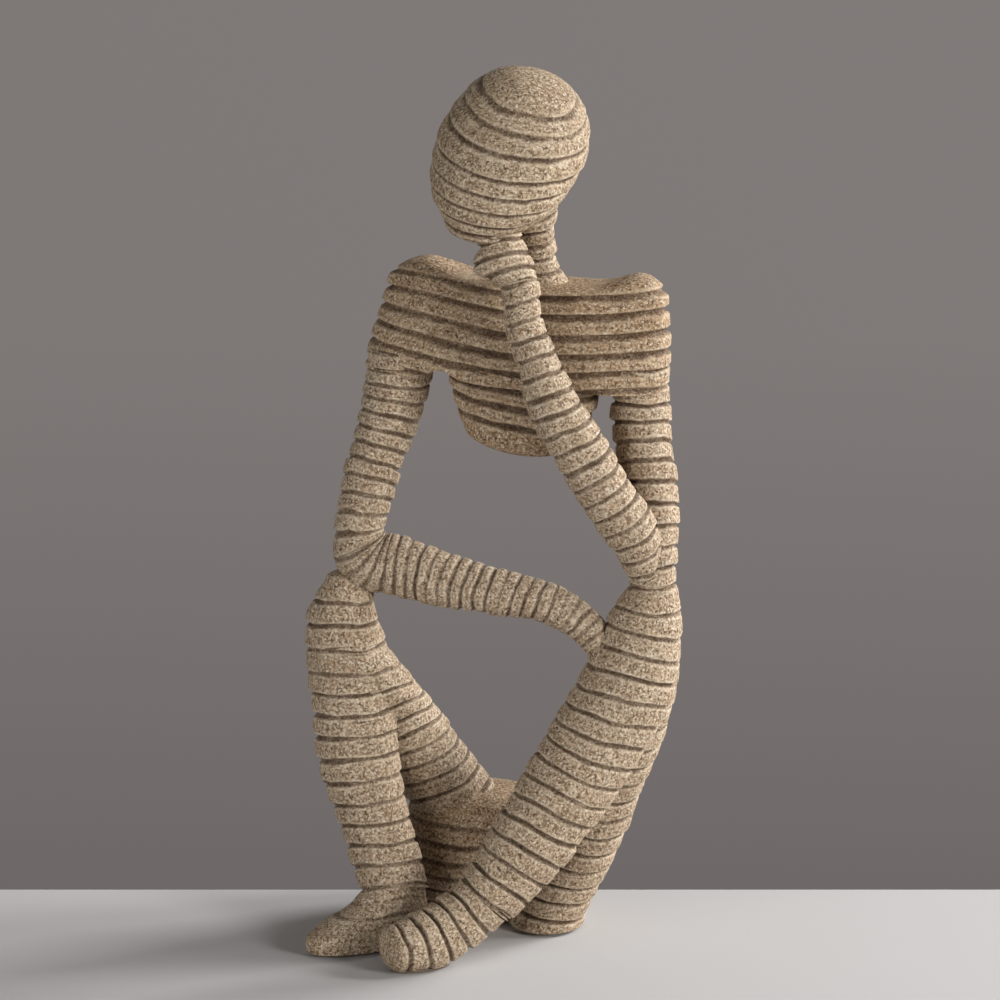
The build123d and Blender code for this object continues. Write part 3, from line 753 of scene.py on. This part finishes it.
@dataclass
class Casting:
    """Banded casting along a spine, which replaces a node of the frame.

    Attributes:
        node: Node that the casting stands for.
        spine: Path of its sections.
        first: Row of the spine where the bands start.
        last: Row where they end.
        bands: Count of equal bands, or the lengths of the grooves from the start.
        cut: Way of carving.
        finish: Stone of the casting.
        seed: Number that makes its carving its own.
        start: Closed end at the first row.
        end: Closed end at the last row.
        reach: How far the casting runs on past its first and last row, inside its neighbours.
        plain: Length at the last row that is left smooth.
        columns: Count of points round a section.
        pitch: Distance between sections.
        resting: Whether the casting stands on the floor's pads.
        lead_in: Count of grooves added before the first row, or, below 0, taken away after it.
    """

    node: str
    spine: Spine
    first: float
    last: float
    bands: int | tuple[float, ...]
    cut: Cut
    finish: StoneFinish
    seed: int
    start: Cap = FLAT
    end: Cap = FLAT
    reach: tuple[float, float] = (0.3, 0.3)
    plain: float = 0.0
    columns: int = 168
    pitch: float = 0.22
    resting: bool = False
    lead_in: int = 0

    def groove_lines(self) -> np.ndarray:
        """Lengths of the grooves along the spine: evenly spread for a count, or as they are given.

        Returns:
            The lengths in millimetres.
        """
        low, high = self.spine.at_row(self.first), self.spine.at_row(self.last)
        if isinstance(self.bands, int):
            return low + (high - low) / self.bands * np.arange(-self.lead_in, self.bands + 1)
        return low + np.array(self.bands)

    def rings(self) -> tuple[np.ndarray, np.ndarray, np.ndarray]:
        """Rings of the surface: length on the spine, share of the section's size and rise past the end.

        A closed end follows a superellipse: the share is the cosine, and the rise the sine, of an angle,
        each raised to two over the squareness, and both are stretched to start at the section's rim.

        Returns:
            Arrays of lengths, shares and rises, one value for each ring.
        """
        low = self.spine.at_row(self.first) - self.reach[0]
        high = self.spine.at_row(self.last) + self.reach[1]
        along = np.linspace(low, high, int((high - low) / self.pitch))
        lengths, shares, rises = [along], [np.ones_like(along)], [np.zeros_like(along)]
        for cap, length, sign in ((self.start, low, -1), (self.end, high, 1)):
            angle = cap.lean + (np.pi / 2 - cap.lean) * np.arange(cap.rings) / cap.rings
            share = np.cos(angle) ** (2 / cap.squareness)
            rise = np.sin(angle) ** (2 / cap.squareness)
            rise = sign * cap.height * ((rise - rise[0]) / (1 - rise[0]))[1:]
            share = (share / share[0])[1:]
            where = 0 if sign < 0 else len(lengths)
            turn = slice(None, None, sign)
            lengths.insert(where, np.full(len(share), length))
            shares.insert(where, share[turn])
            rises.insert(where, rise[turn])
        return np.concatenate(lengths), np.concatenate(shares), np.concatenate(rises)

    def shown(self, along: np.ndarray) -> np.ndarray:
        """Share of the carving that shows: it fades out softly towards a plain end.

        Args:
            along: Length on the spine at each point.

        Returns:
            A share from 0 to 1 for each point.
        """
        high = self.spine.at_row(self.last) - self.plain
        return 1 - ramp(along, high, high + FADE) if self.plain else np.ones_like(along)

    def carve(self, along: np.ndarray, angle: np.ndarray, points: np.ndarray) -> tuple[np.ndarray, ...]:
        """Relief of the bands on the grid.

        The length strays by a few waves round the section, each a sine over its number. The distance to
        the nearest groove line gives the groove, an exponential of minus that distance to the power of
        the sharpness, and the pale edge, a bell curve beside it. Each groove has its own strength. Each
        band has its own height, falls off with the cube of the distance from its middle, and leans
        evenly from its lower to its upper edge.

        Args:
            along: Length on the spine at each point, caps included.
            angle: Angle round the section at each point.
            points: Places of the plain surface.

        Returns:
            Offset in millimetres, groove mask and edge mask.
        """
        carving = CARVINGS[self.cut]
        random = np.random.default_rng(self.seed)
        waves = np.arange(1, HAND.waves + 1)[:, None, None]
        phase = random.uniform(0, HAND.phases, waves.shape)
        rate = random.uniform(-HAND.twist, HAND.twist, waves.shape)
        stray = (np.sin(waves * angle + rate * along + phase) / waves).sum(axis=0)
        uneven = np.stack([rough(points, cell, self.seed) for cell in HAND.cells])
        coarse = uneven[0]
        course = HAND.course[0] * stray + HAND.course[1] * coarse
        length = along + carving.wander * course + np.tensordot(HAND.jitter, uneven[1:3], 1)
        lines = np.concatenate([[-FAR], self.groove_lines(), [FAR]])
        band = np.clip(np.searchsorted(lines, length) - 1, 0, len(lines) - 2)
        low, high = lines[band], lines[band + 1]
        away = np.minimum(length - low, high - length)
        share = (length - low) / (high - low)
        inner = (high - low) < FAR / 2
        half = carving.half_width * (1 + np.tensordot(HAND.width, uneven[:3], 1))
        nearest = np.where(length - low < high - length, band, band + 1)
        strength = random.uniform(carving.faintest, 1, len(lines))[nearest]
        show = self.shown(along) * np.clip(strength * (1 + HAND.fading * coarse), 0, 1)
        groove = np.exp(-((away / half) ** carving.sharpness)) * show
        # Pale edge beside each groove: the mask of a painted highlight.
        edge = np.exp(-(((away - HAND.edge[0] * half) / (HAND.edge[1] * half)) ** 2)) * show
        lift = random.uniform(-1, 0, len(lines))[band] * (1 + HAND.heave * coarse)
        relief = carving.step * lift - carving.crown * np.abs(2 * share - 1) ** 3
        lower = share if self.spine.table[-1, 2] < self.spine.table[0, 2] else 1 - share
        relief += carving.lead * (lower - 1)
        relief = np.where(inner, relief, -carving.step / 2) * show * (1 - groove)
        relief -= carving.depth * (HAND.bottom[0] + HAND.bottom[1] * coarse) * groove
        relief += carving.tooling * (np.tensordot(HAND.surface, uneven, 1) - HAND.sink)
        return relief, groove, edge

    def skin(self) -> tuple[np.ndarray, np.ndarray, dict[str, np.ndarray]]:
        """Surface of the casting: sections along the spine, each an ellipse whose radius has the relief.

        Returns:
            Grid of places, the two poles and the masks on the grid.
        """
        along, share, rise = self.rings()
        section = self.spine.sections(along)
        angle = np.linspace(0, 2 * np.pi, self.columns, endpoint=False)[None, :]
        middle = (section.centre + section.facing * rise[:, None])[:, None]
        across, deep = section.across[:, None], section.deep[:, None]
        half_across, half_deep = section.halves[:, :1], section.halves[:, 1:]
        round_across, round_deep = self.round_shape(angle)
        side = share[:, None] * round_across
        front = share[:, None] * round_deep
        plain = middle + across * (half_across * side)[..., None] + deep * (half_deep * front)[..., None]
        plain = self.shaped(plain, share, section)
        spread = np.broadcast_to((along + rise)[:, None], side.shape)
        relief, groove, edge = self.carve(spread, np.broadcast_to(angle, side.shape), plain)
        points = plain + across * (relief * side)[..., None] + deep * (relief * front)[..., None]
        tips = np.stack([points[0].mean(axis=0), points[-1].mean(axis=0)])
        if self.resting:
            points, tips = rested(points), rested(tips)
        return points, tips, {"groove": groove, "edge": edge}

    def round_shape(self, angle: np.ndarray) -> tuple[np.ndarray, np.ndarray]:
        """Unit section: cosine and sine of the angle."""
        return np.cos(angle), np.sin(angle)

    def shaped(self, points: np.ndarray, share: np.ndarray, section: Sections) -> np.ndarray:
        """Plain surface as it is, for castings with no form beyond their sections."""
        return points

    def build(self) -> bpy.types.Object:
        """Make the casting and let it stand for its node.

        Returns:
            The casting.
        """
        piece = add_mesh(f"{self.node}_casting", *self.skin())
        self.dress(piece)
        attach(piece, "root")
        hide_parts(self.node)
        return piece

    def dress(self, piece: bpy.types.Object) -> None:
        """Give the casting its stone."""
        piece.data.materials.append(self.finish.make())


def rested(points: np.ndarray) -> np.ndarray:
    """Points kept above the pads by a soft floor.

    The height over the seat becomes the mean of itself and the root of its square plus the softness
    squared.

    Args:
        points: Places in millimetres.

    Returns:
        The places, none of them below the seat.
    """
    above = points[..., 2] - FLOOR_SEAT
    held = FLOOR_SEAT + (above + np.sqrt(above**2 + SEAT_SOFTNESS**2)) / 2
    return np.concatenate([points[..., :2], held[..., None]], axis=-1)


@dataclass
class YokeCasting(Casting):
    """Upper chest: squarish ovals with grooves all round, under two smooth shoulders.

    Attributes:
        squareness: How square the section is, where 2 is an ellipse.
        base: Rise of the top everywhere.
        shoulders: Place across the chest, swell and width of each shoulder.
        armpit: Place, height and width of the arch over the right armpit.
        armpit_fade: Heights over which the arch fades out.
        flare: How far the right side is pushed outwards.
        flare_span: Distances towards the right over which the flare sets in.
        flare_fade: Heights over which the flare fades out.
        climbs: Rise of the grooves towards the right and the left shoulder.
        climb_spans: Distances towards each side over which the grooves rise.
    """

    squareness: float = 2.7
    base: float = 1.5
    shoulders: tuple[tuple[float, float, float], ...] = ((-32.5, 5.2, 11.0), (36.0, 6.2, 9.5))
    armpit: tuple[float, float, float] = (-20.0, 3.2, 5.0)
    armpit_fade: tuple[float, float] = (0.0, 15.0)
    flare: float = 2.6
    flare_span: tuple[float, float] = (18.0, 42.0)
    flare_fade: tuple[float, float] = (-1.0, 16.0)
    climbs: tuple[float, float] = (3.4, 2.4)
    climb_spans: tuple[tuple[float, float], ...] = ((-4.0, 38.0), (0.0, 40.0))

    def round_shape(self, angle: np.ndarray) -> tuple[np.ndarray, np.ndarray]:
        """Unit section: cosine and sine, each raised to two over the squareness.

        Args:
            angle: Angles round the section.

        Returns:
            The two coordinates of the section.
        """
        power = 2 / self.squareness
        cosine, sine = np.cos(angle), np.sin(angle)
        return np.sign(cosine) * np.abs(cosine) ** power, np.sign(sine) * np.abs(sine) ** power

    def chest_places(self, points: np.ndarray) -> tuple[np.ndarray, np.ndarray]:
        """Where points lie on the chest.

        Args:
            points: Places in millimetres.

        Returns:
            Distances towards the figure's left, and heights above the underside.
        """
        under = self.spine.sections(np.zeros(1))
        off = points - under.centre[0]
        return -(off @ under.across[0]), off @ under.facing[0]

    def shaped(self, points: np.ndarray, share: np.ndarray, section: Sections) -> np.ndarray:
        """Raise the closed top into two shoulders, arch the right armpit and flare the side above it.

        The shoulders and the arch are bell curves across the chest. The top rises by the root of 1 minus
        the fourth power of the share. The arch fades out up the chest, and so does the flare.

        Args:
            points: Grid of places of the plain sections.
            share: Share of the section's size for each ring.
            section: Sections of the rings.

        Returns:
            The moved grid.
        """
        sideways, height = self.chest_places(points)
        rise = np.full(points.shape[:-1], self.base)
        for place, swell, width in self.shoulders:
            rise = rise + swell * np.exp(-(((sideways - place) / width) ** 2))
        top = np.arange(len(share)) > len(share) - self.end.rings
        lift = rise * np.where(top, np.sqrt(np.clip(1 - share**4, 0, 1)), 0.0)[:, None]
        place, arch, width = self.armpit
        lift += arch * np.exp(-(((sideways - place) / width) ** 2)) * (1 - ramp(height, *self.armpit_fade))
        push = self.flare * ramp(-sideways, *self.flare_span) * (1 - ramp(height, *self.flare_fade))
        raised = points + section.facing[:, None] * lift[..., None]
        return raised + section.across[:, None] * push[..., None]

    def carve(self, along: np.ndarray, angle: np.ndarray, points: np.ndarray) -> tuple[np.ndarray, ...]:
        """Relief of the chest, whose grooves climb from the middle towards both shoulders.

        Args:
            along: Length on the spine at each point, not used because the shoulders rise past it.
            angle: Angle round the section at each point.
            points: Places of the plain surface.

        Returns:
            Offset in millimetres, groove mask and edge mask.
        """
        sideways, height = self.chest_places(points)
        to_right, to_left = self.climb_spans
        climb = self.climbs[0] * ramp(-sideways, *to_right) + self.climbs[1] * ramp(sideways, *to_left)
        return super().carve(height - climb, angle, points)


@dataclass
class FeltPad:
    """Oval felt pad under a place where the figure stands.

    Attributes:
        node: Node that the pad stands for.
        middle: Its place as shares of the figure's breadth and depth.
        direction: Direction of its length.
        length: Its length.
        breadth: Its breadth.
        thickness: Its thickness.
        rim: How square the rim's profile is outwards and upwards, where 2 is round.
        fray: Unevenness of the outline, as a share of its size.
        fray_ring: Radius of the ring on which the unevenness is taken, and the size of its cells.
        fray_seed: Number of the unevenness.
        rings: Count of ovals.
        columns: Count of points round an oval.
    """

    node: str
    middle: tuple[float, float]
    direction: tuple[float, float]
    length: float
    breadth: float
    thickness: float = FLOOR_SEAT
    rim: tuple[float, float] = (8.0, 5.0)
    fray: float = 0.012
    fray_ring: tuple[float, float] = (20.0, 1.3)
    fray_seed: int = 5
    rings: int = 24
    columns: int = 120

    def build(self) -> bpy.types.Object:
        """Make the pad: ovals from the middle of its underside, round its soft rim, to the middle of its top.

        The rim is a superellipse: cosine and sine of an angle, each raised to two over its squareness.

        Returns:
            The pad, which stands for its node.
        """
        turn = np.linspace(-np.pi / 2, np.pi / 2, self.rings + 2)[1:-1, None]
        angle = np.linspace(0, 2 * np.pi, self.columns, endpoint=False)[None, :]
        share = np.cos(turn) ** (2 / self.rim[0])
        height = self.thickness / 2 * (1 + np.sign(turn) * np.abs(np.sin(turn)) ** (2 / self.rim[1]))
        along = np.array([*self.direction, 0.0]) / np.hypot(*self.direction)
        aside = np.array([-along[1], along[0], 0.0])
        up = np.array([0.0, 0.0, 1.0])
        radius, cell = self.fray_ring
        ring = np.stack([np.cos(angle), np.sin(angle), 0 * angle], axis=-1) * radius
        outline = share * (1 - self.fray * (1 + rough(ring, cell, self.fray_seed)))
        lengthwise = self.length / 2 * outline * np.cos(angle)
        sideways = self.breadth / 2 * outline * np.sin(angle)
        middle = np.array([*self.middle, 0.0]) * FIGURE_SIZES
        points = middle + lengthwise[..., None] * along + sideways[..., None] * aside
        points = points + up * height[..., None]
        poles = np.stack([middle, middle + up * self.thickness])
        pad = add_mesh(f"{self.node}_felt", points, poles, {})
        self.dress(pad)
        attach(pad, "root")
        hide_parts(self.node)
        return pad

    def dress(self, pad: bpy.types.Object) -> None:
        """Give the pad its felt."""
        pad.data.materials.append(FeltFinish().make())


@dataclass
class Arms:
    """Both arms: the right one lies across the knees, and the left one holds up the head."""

    right_breadth: float = 20.6
    right_depth: float = 20.8
    left_upper_breadth: float = 17.8
    left_upper_depth: float = 20.0
    left_fore_breadth: float = 17.2
    left_fore_depth: float = 18.0

    def build(self) -> list[bpy.types.Object]:
        """Make the six castings of the arms.

        Returns:
            The castings.
        """
        right = Spine(RIGHT_ARM_ROWS, self.right_breadth, self.right_depth)
        upper = Spine(LEFT_UPPER_ARM_ROWS, self.left_upper_breadth, self.left_upper_depth)
        fore = Spine(LEFT_FOREARM_ROWS, self.left_fore_breadth, self.left_fore_depth)
        castings = (
            Casting("right_upper_arm", right, 0, 5, 11, Cut.PLATE, LIMB_STONE, 11, reach=(5.0, 0.3),
                    lead_in=1),
            Casting("right_forearm", right, 5, 10, 17, Cut.HOSE, LIMB_STONE, 12),
            Casting("right_hand", right, 10, 12, 7, Cut.SMOOTH, SKIN_STONE, 13, reach=(0.3, 3.0)),
            Casting("left_upper_arm", upper, 0, 5, 10, Cut.PLATE, LIMB_STONE, 14, reach=(5.0, 1.0),
                    lead_in=1),
            Casting("left_forearm", fore, 0, 7, 17, Cut.PLATE, LIMB_STONE, 15, start=Cap(2.0)),
            Casting("left_hand", fore, 7, 9, 3, Cut.PLATE, LIMB_STONE, 16, end=Cap(3.0)),
        )
        return [casting.build() for casting in castings]


@dataclass
class Legs:
    """Both legs and the seat block between them."""

    right_breadth: float = 25.0
    right_depth: float = 24.0
    left_breadth: float = 27.2
    left_depth: float = 25.0
    right_thigh_breadth: float = 25.0
    right_thigh_depth: float = 26.0
    left_thigh_breadth: float = 24.0
    left_thigh_depth: float = 28.0
    pelvis_breadth: float = 52.0
    pelvis_depth: float = 40.0
    foot_length: float = 42.0
    foot_breadth: float = 19.0
    foot_axis: tuple[float, float, float] = (0.51, -0.86, 0.0)
    foot_lines: tuple[float, ...] = (0.0, 3.5, 7.5)
    right_thigh_lines: tuple[float, ...] = (
        1.3, 7.9, 14.5, 21.7, 28.8, 35.3, 41.3, 47.0, 52.8, 58.5, 64.2, 70.0, 76.0,
    )

    def build(self) -> list[bpy.types.Object]:
        """Make the seven castings of the legs and the seat.

        Returns:
            The castings.
        """
        right = Spine(RIGHT_LEG_ROWS, self.right_breadth, self.right_depth)
        left = Spine(LEFT_LEG_ROWS, self.left_breadth, self.left_depth)
        right_hip = Spine(RIGHT_THIGH_ROWS, self.right_thigh_breadth, self.right_thigh_depth)
        left_hip = Spine(LEFT_THIGH_ROWS, self.left_thigh_breadth, self.left_thigh_depth)
        seat = Spine(PELVIS_ROWS, self.pelvis_breadth, self.pelvis_depth)
        foot = Spine(RIGHT_FOOT_ROWS, self.foot_length, self.foot_breadth, self.foot_axis)
        castings = (
            Casting("right_shin", right, 0, 7, 14, Cut.PLATE, LIMB_STONE, 21, start=Cap(2.5), columns=180,
                    lead_in=-1),
            Casting("left_shin", left, 0, 7, 16, Cut.PLATE, LIMB_STONE, 22, columns=180),
            Casting("right_foot", foot, 0, 4, self.foot_lines, Cut.SMOOTH, SKIN_STONE, 23, columns=200,
                    pitch=0.15, resting=True),
            Casting("left_foot", left, 7, 10, 5, Cut.PLATE, LIMB_STONE, 24, end=Cap(4.0, 2.4), resting=True),
            Casting("right_thigh", right_hip, 0, 5, self.right_thigh_lines, Cut.PLATE, LIMB_STONE, 25,
                    start=Cap(3.0), plain=8.0, columns=180),
            Casting("left_thigh", left_hip, 0, 5.6, 18, Cut.PLATE, LIMB_STONE, 26, start=Cap(3.0),
                    columns=180, resting=True),
            Casting("pelvis", seat, 0.25, 3, 7, Cut.SEAT, BODY_PAINTED_SHADE_STONE, 27, end=Cap(4.5), plain=3.0,
                    columns=240, resting=True),
        )
        return [casting.build() for casting in castings]


@dataclass
class Trunk:
    """Chest, neck and the bowed head."""

    yoke_breadth: float = 88.0
    yoke_depth: float = 31.0
    ribcage_breadth: float = 46.0
    ribcage_depth: float = 31.0
    neck_breadth: float = 19.0
    neck_depth: float = 17.0
    head_breadth: float = 42.0
    head_depth: float = 46.0
    chest_turn: tuple[float, float, float] = (0.26, 0.96, 0.0)
    head_lines: tuple[float, ...] = (1.6, 6.2, 12.3, 18.0, 23.6, 30.4, 35.8, 40.0)
    chest_lines: tuple[float, ...] = (-6.6, -1.6, 3.4, 8.2, 13.2, 18.6, 23.6)
    rib_lines: tuple[float, ...] = (2.6, 7.2, 12.2)

    def build(self) -> list[bpy.types.Object]:
        """Make the four castings of the trunk.

        Returns:
            The castings.
        """
        chest = Spine(YOKE_ROWS, self.yoke_breadth, self.yoke_depth, self.chest_turn)
        ribs = Spine(RIBCAGE_ROWS, self.ribcage_breadth, self.ribcage_depth, self.chest_turn)
        throat = Spine(NECK_ROWS, self.neck_breadth, self.neck_depth)
        skull = Spine(HEAD_ROWS, self.head_breadth, self.head_depth)
        castings = (
            YokeCasting("shoulder_yoke", chest, 0, 3, self.chest_lines, Cut.CHEST, BODY_PAINTED_SHADE_STONE, 31,
                        end=Cap(0.0, 2.0, 60), columns=340),
            Casting("ribcage", ribs, 0, 3, self.rib_lines, Cut.CHEST, BODY_PAINTED_SHADE_STONE, 32, end=Cap(5.0, 2.0, 24),
                    reach=(2.0, 0.0), columns=220),
            Casting("neck", throat, 0, 4, 6, Cut.PLATE, LIMB_STONE, 33, reach=(2.0, 0.0)),
            Casting("head", skull, 0, 6, self.head_lines, Cut.SHINGLE, HEAD_PAINTED_SHADE_STONE, 34, start=Cap(3.5),
                    end=Cap(6.4, 2.0, 36, 0.75), reach=(0.0, 0.0), columns=240),
        )
        return [casting.build() for casting in castings]


@dataclass
class Pads:
    """The three felt pads and the finish of the hidden pins."""

    right_foot: tuple[float, float] = (-0.330, -0.136)
    left_foot: tuple[float, float] = (-0.190, -0.373)
    seat: tuple[float, float] = (0.055, 0.205)

    def build(self) -> list[bpy.types.Object]:
        """Make the pads and dress the pins of the frame.

        Returns:
            The pads.
        """
        pads = (
            FeltPad("right_foot_pad", self.right_foot, (-0.86, -0.51), 37.0, 15.0),
            FeltPad("left_foot_pad", self.left_foot, (-0.90, -0.43), 18.0, 8.4),
            FeltPad("seat_pad", self.seat, (0.83, -0.56), 44.0, 16.0),
        )
        self.dress(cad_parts["dowel_pins"])
        return [pad.build() for pad in pads]

    def dress(self, pins: bpy.types.Object) -> None:
        """Give the pins their ground steel in every slot."""
        for slot in pins.material_slots:
            slot.material = SteelFinish().make()


@dataclass(frozen=True)
class Lamp:
    """Square lamp of the studio: place and size in metres, power in watts."""

    name: str
    place: tuple[float, float, float]
    size: float
    power: float


@dataclass
class Studio:
    """Plain pale table, grey wall, soft lamps and the camera of the photograph's view, in metres."""

    target: tuple[float, float, float] = (0.002, 0.0, 0.1294)
    distance: float = 1.0
    elevation: float = 10.0
    lens: float = 125.4
    reach: float = 3.0
    table_edge: float = 0.046
    wall: float = 0.9
    wall_foot: float = -2.0
    wall_height: float = 5.0
    table_tint: Tint = (194, 192, 191)
    # The wall glows by itself, and painted shade makes it darker towards its foot.
    wall_tint: Tint = (122, 117, 115)
    wall_foot_painted_shade: Tint = (104, 99, 98)
    wall_shade: tuple[float, float] = (-0.28, 0.06)
    paint_roughness: float = 0.9
    sky: float = 0.05
    sky_colour: tuple[float, float, float, float] = (1.0, 0.99, 0.98, 1.0)
    lamps: tuple[Lamp, ...] = (
        Lamp("side", (1.50, 0.0, 0.95), 0.4, 13.0),
        Lamp("back", (1.30, 0.60, 0.80), 0.5, 23.0),
        Lamp("front", (1.08, -0.95, 0.46), 0.4, 13.0),
        Lamp("fill", (-0.95, -1.15, 0.38), 0.8, 8.0),
    )

    def build(self) -> None:
        """Set up the table, the wall, the lamps, the room's light and the camera."""
        scene = bpy.context.scene
        scene.view_settings.view_transform = "Standard"
        side = (2 * self.reach, 0, 0)
        depth = (0, self.reach + self.table_edge, 0)
        table = self.sheet("table", (-self.reach, -self.reach, 0), side, depth)
        wall = self.sheet("wall", (-self.reach, self.wall, self.wall_foot), side, (0, 0, self.wall_height))
        self.dress(table, self.table_tint)
        self.dress(wall, self.wall_tint, True)
        for lamp in self.lamps:
            self.light(lamp)
        world = bpy.data.worlds.new("soft_room")
        world.use_nodes = True
        background = world.node_tree.nodes["Background"]
        background.inputs["Color"].default_value = self.sky_colour
        background.inputs["Strength"].default_value = self.sky
        scene.world = world
        scene.camera = self.camera()

    def camera(self) -> bpy.types.Object:
        """Camera at its distance from the target, above the front of the figure.

        Returns:
            The camera, turned to the target.
        """
        camera = bpy.data.cameras.new("camera")
        camera.lens = self.lens
        camera.sensor_width = SENSOR
        eye = bpy.data.objects.new("camera", camera)
        bpy.context.collection.objects.link(eye)
        slope = np.radians(self.elevation)
        shift = Vector((0.0, -float(np.cos(slope)), float(np.sin(slope)))) * self.distance
        eye.location = Vector(self.target) + shift
        eye.rotation_euler = (-shift).to_track_quat("-Z", "Y").to_euler()
        return eye

    def sheet(self, name: str, corner: tuple[float, ...], side: tuple[float, ...],
              rise: tuple[float, ...]) -> bpy.types.Object:
        """Flat stage sheet from a corner and two sides.

        Args:
            name: Name of the sheet.
            corner: Place of its first corner.
            side: Step from there to the second corner.
            rise: Step from there to the last corner.

        Returns:
            The sheet.
        """
        corner, side, rise = (np.array(value, float) for value in (corner, side, rise))
        mesh = bpy.data.meshes.new(name)
        mesh.from_pydata([corner, corner + side, corner + side + rise, corner + rise], [], [(0, 1, 2, 3)])
        sheet = bpy.data.objects.new(name, mesh)
        bpy.context.collection.objects.link(sheet)
        return sheet

    def dress(self, sheet: bpy.types.Object, tint: Tint, glows: bool = False) -> None:
        """Give a stage sheet its tint, clear from behind.

        Args:
            sheet: The sheet.
            tint: Its tint.
            glows: Whether it shines by itself instead of being lit, with painted shade darkening it towards
                its foot.
        """
        material, maker, shader = blank_material(f"{sheet.name}_paint")
        shader.inputs["Base Color"].default_value = linear((0, 0, 0) if glows else tint)
        shader.inputs["Roughness"].default_value = self.paint_roughness
        if glows:
            height = maker.add("ShaderNodeSeparateXYZ")
            maker.link(maker.add("ShaderNodeTexCoord").outputs["Object"], height.inputs["Vector"])
            # Painted shade: the glow is darker towards the wall's foot.
            shade = maker.span(height.outputs["Z"], *self.wall_shade)
            maker.link(maker.mix(shade, self.wall_foot_painted_shade, tint), shader.inputs["Emission Color"])
            shader.inputs["Emission Strength"].default_value = 1.0
        clear = maker.add("ShaderNodeBsdfTransparent")
        side = maker.add("ShaderNodeMixShader")
        maker.link(maker.add("ShaderNodeNewGeometry").outputs["Backfacing"], side.inputs[0])
        maker.link(shader.outputs[0], side.inputs[1])
        maker.link(clear.outputs[0], side.inputs[2])
        maker.link(side.outputs[0], material.node_tree.nodes["Material Output"].inputs["Surface"])
        sheet.data.materials.append(material)

    def light(self, lamp: Lamp) -> None:
        """Put up a lamp, turned to the figure.

        Args:
            lamp: The lamp.
        """
        light = bpy.data.lights.new(lamp.name, "AREA")
        light.size = lamp.size
        light.energy = lamp.power
        holder = bpy.data.objects.new(lamp.name, light)
        bpy.context.collection.objects.link(holder)
        holder.location = lamp.place
        holder.rotation_euler = (Vector(self.target) - Vector(lamp.place)).to_track_quat("-Z", "Y").to_euler()


def main() -> None:
    """Build every sub-assembly in order, report its pieces and set up the studio."""
    logging.basicConfig(level=logging.INFO, format="%(message)s")
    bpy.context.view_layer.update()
    for assembly in (Trunk(), Arms(), Legs(), Pads()):
        for piece in assembly.build():
            LOG.info("%s: %s with %d faces", type(assembly).__name__, piece.name, len(piece.data.polygons))
    Studio().build()


if __name__ == "__main__":
    main()
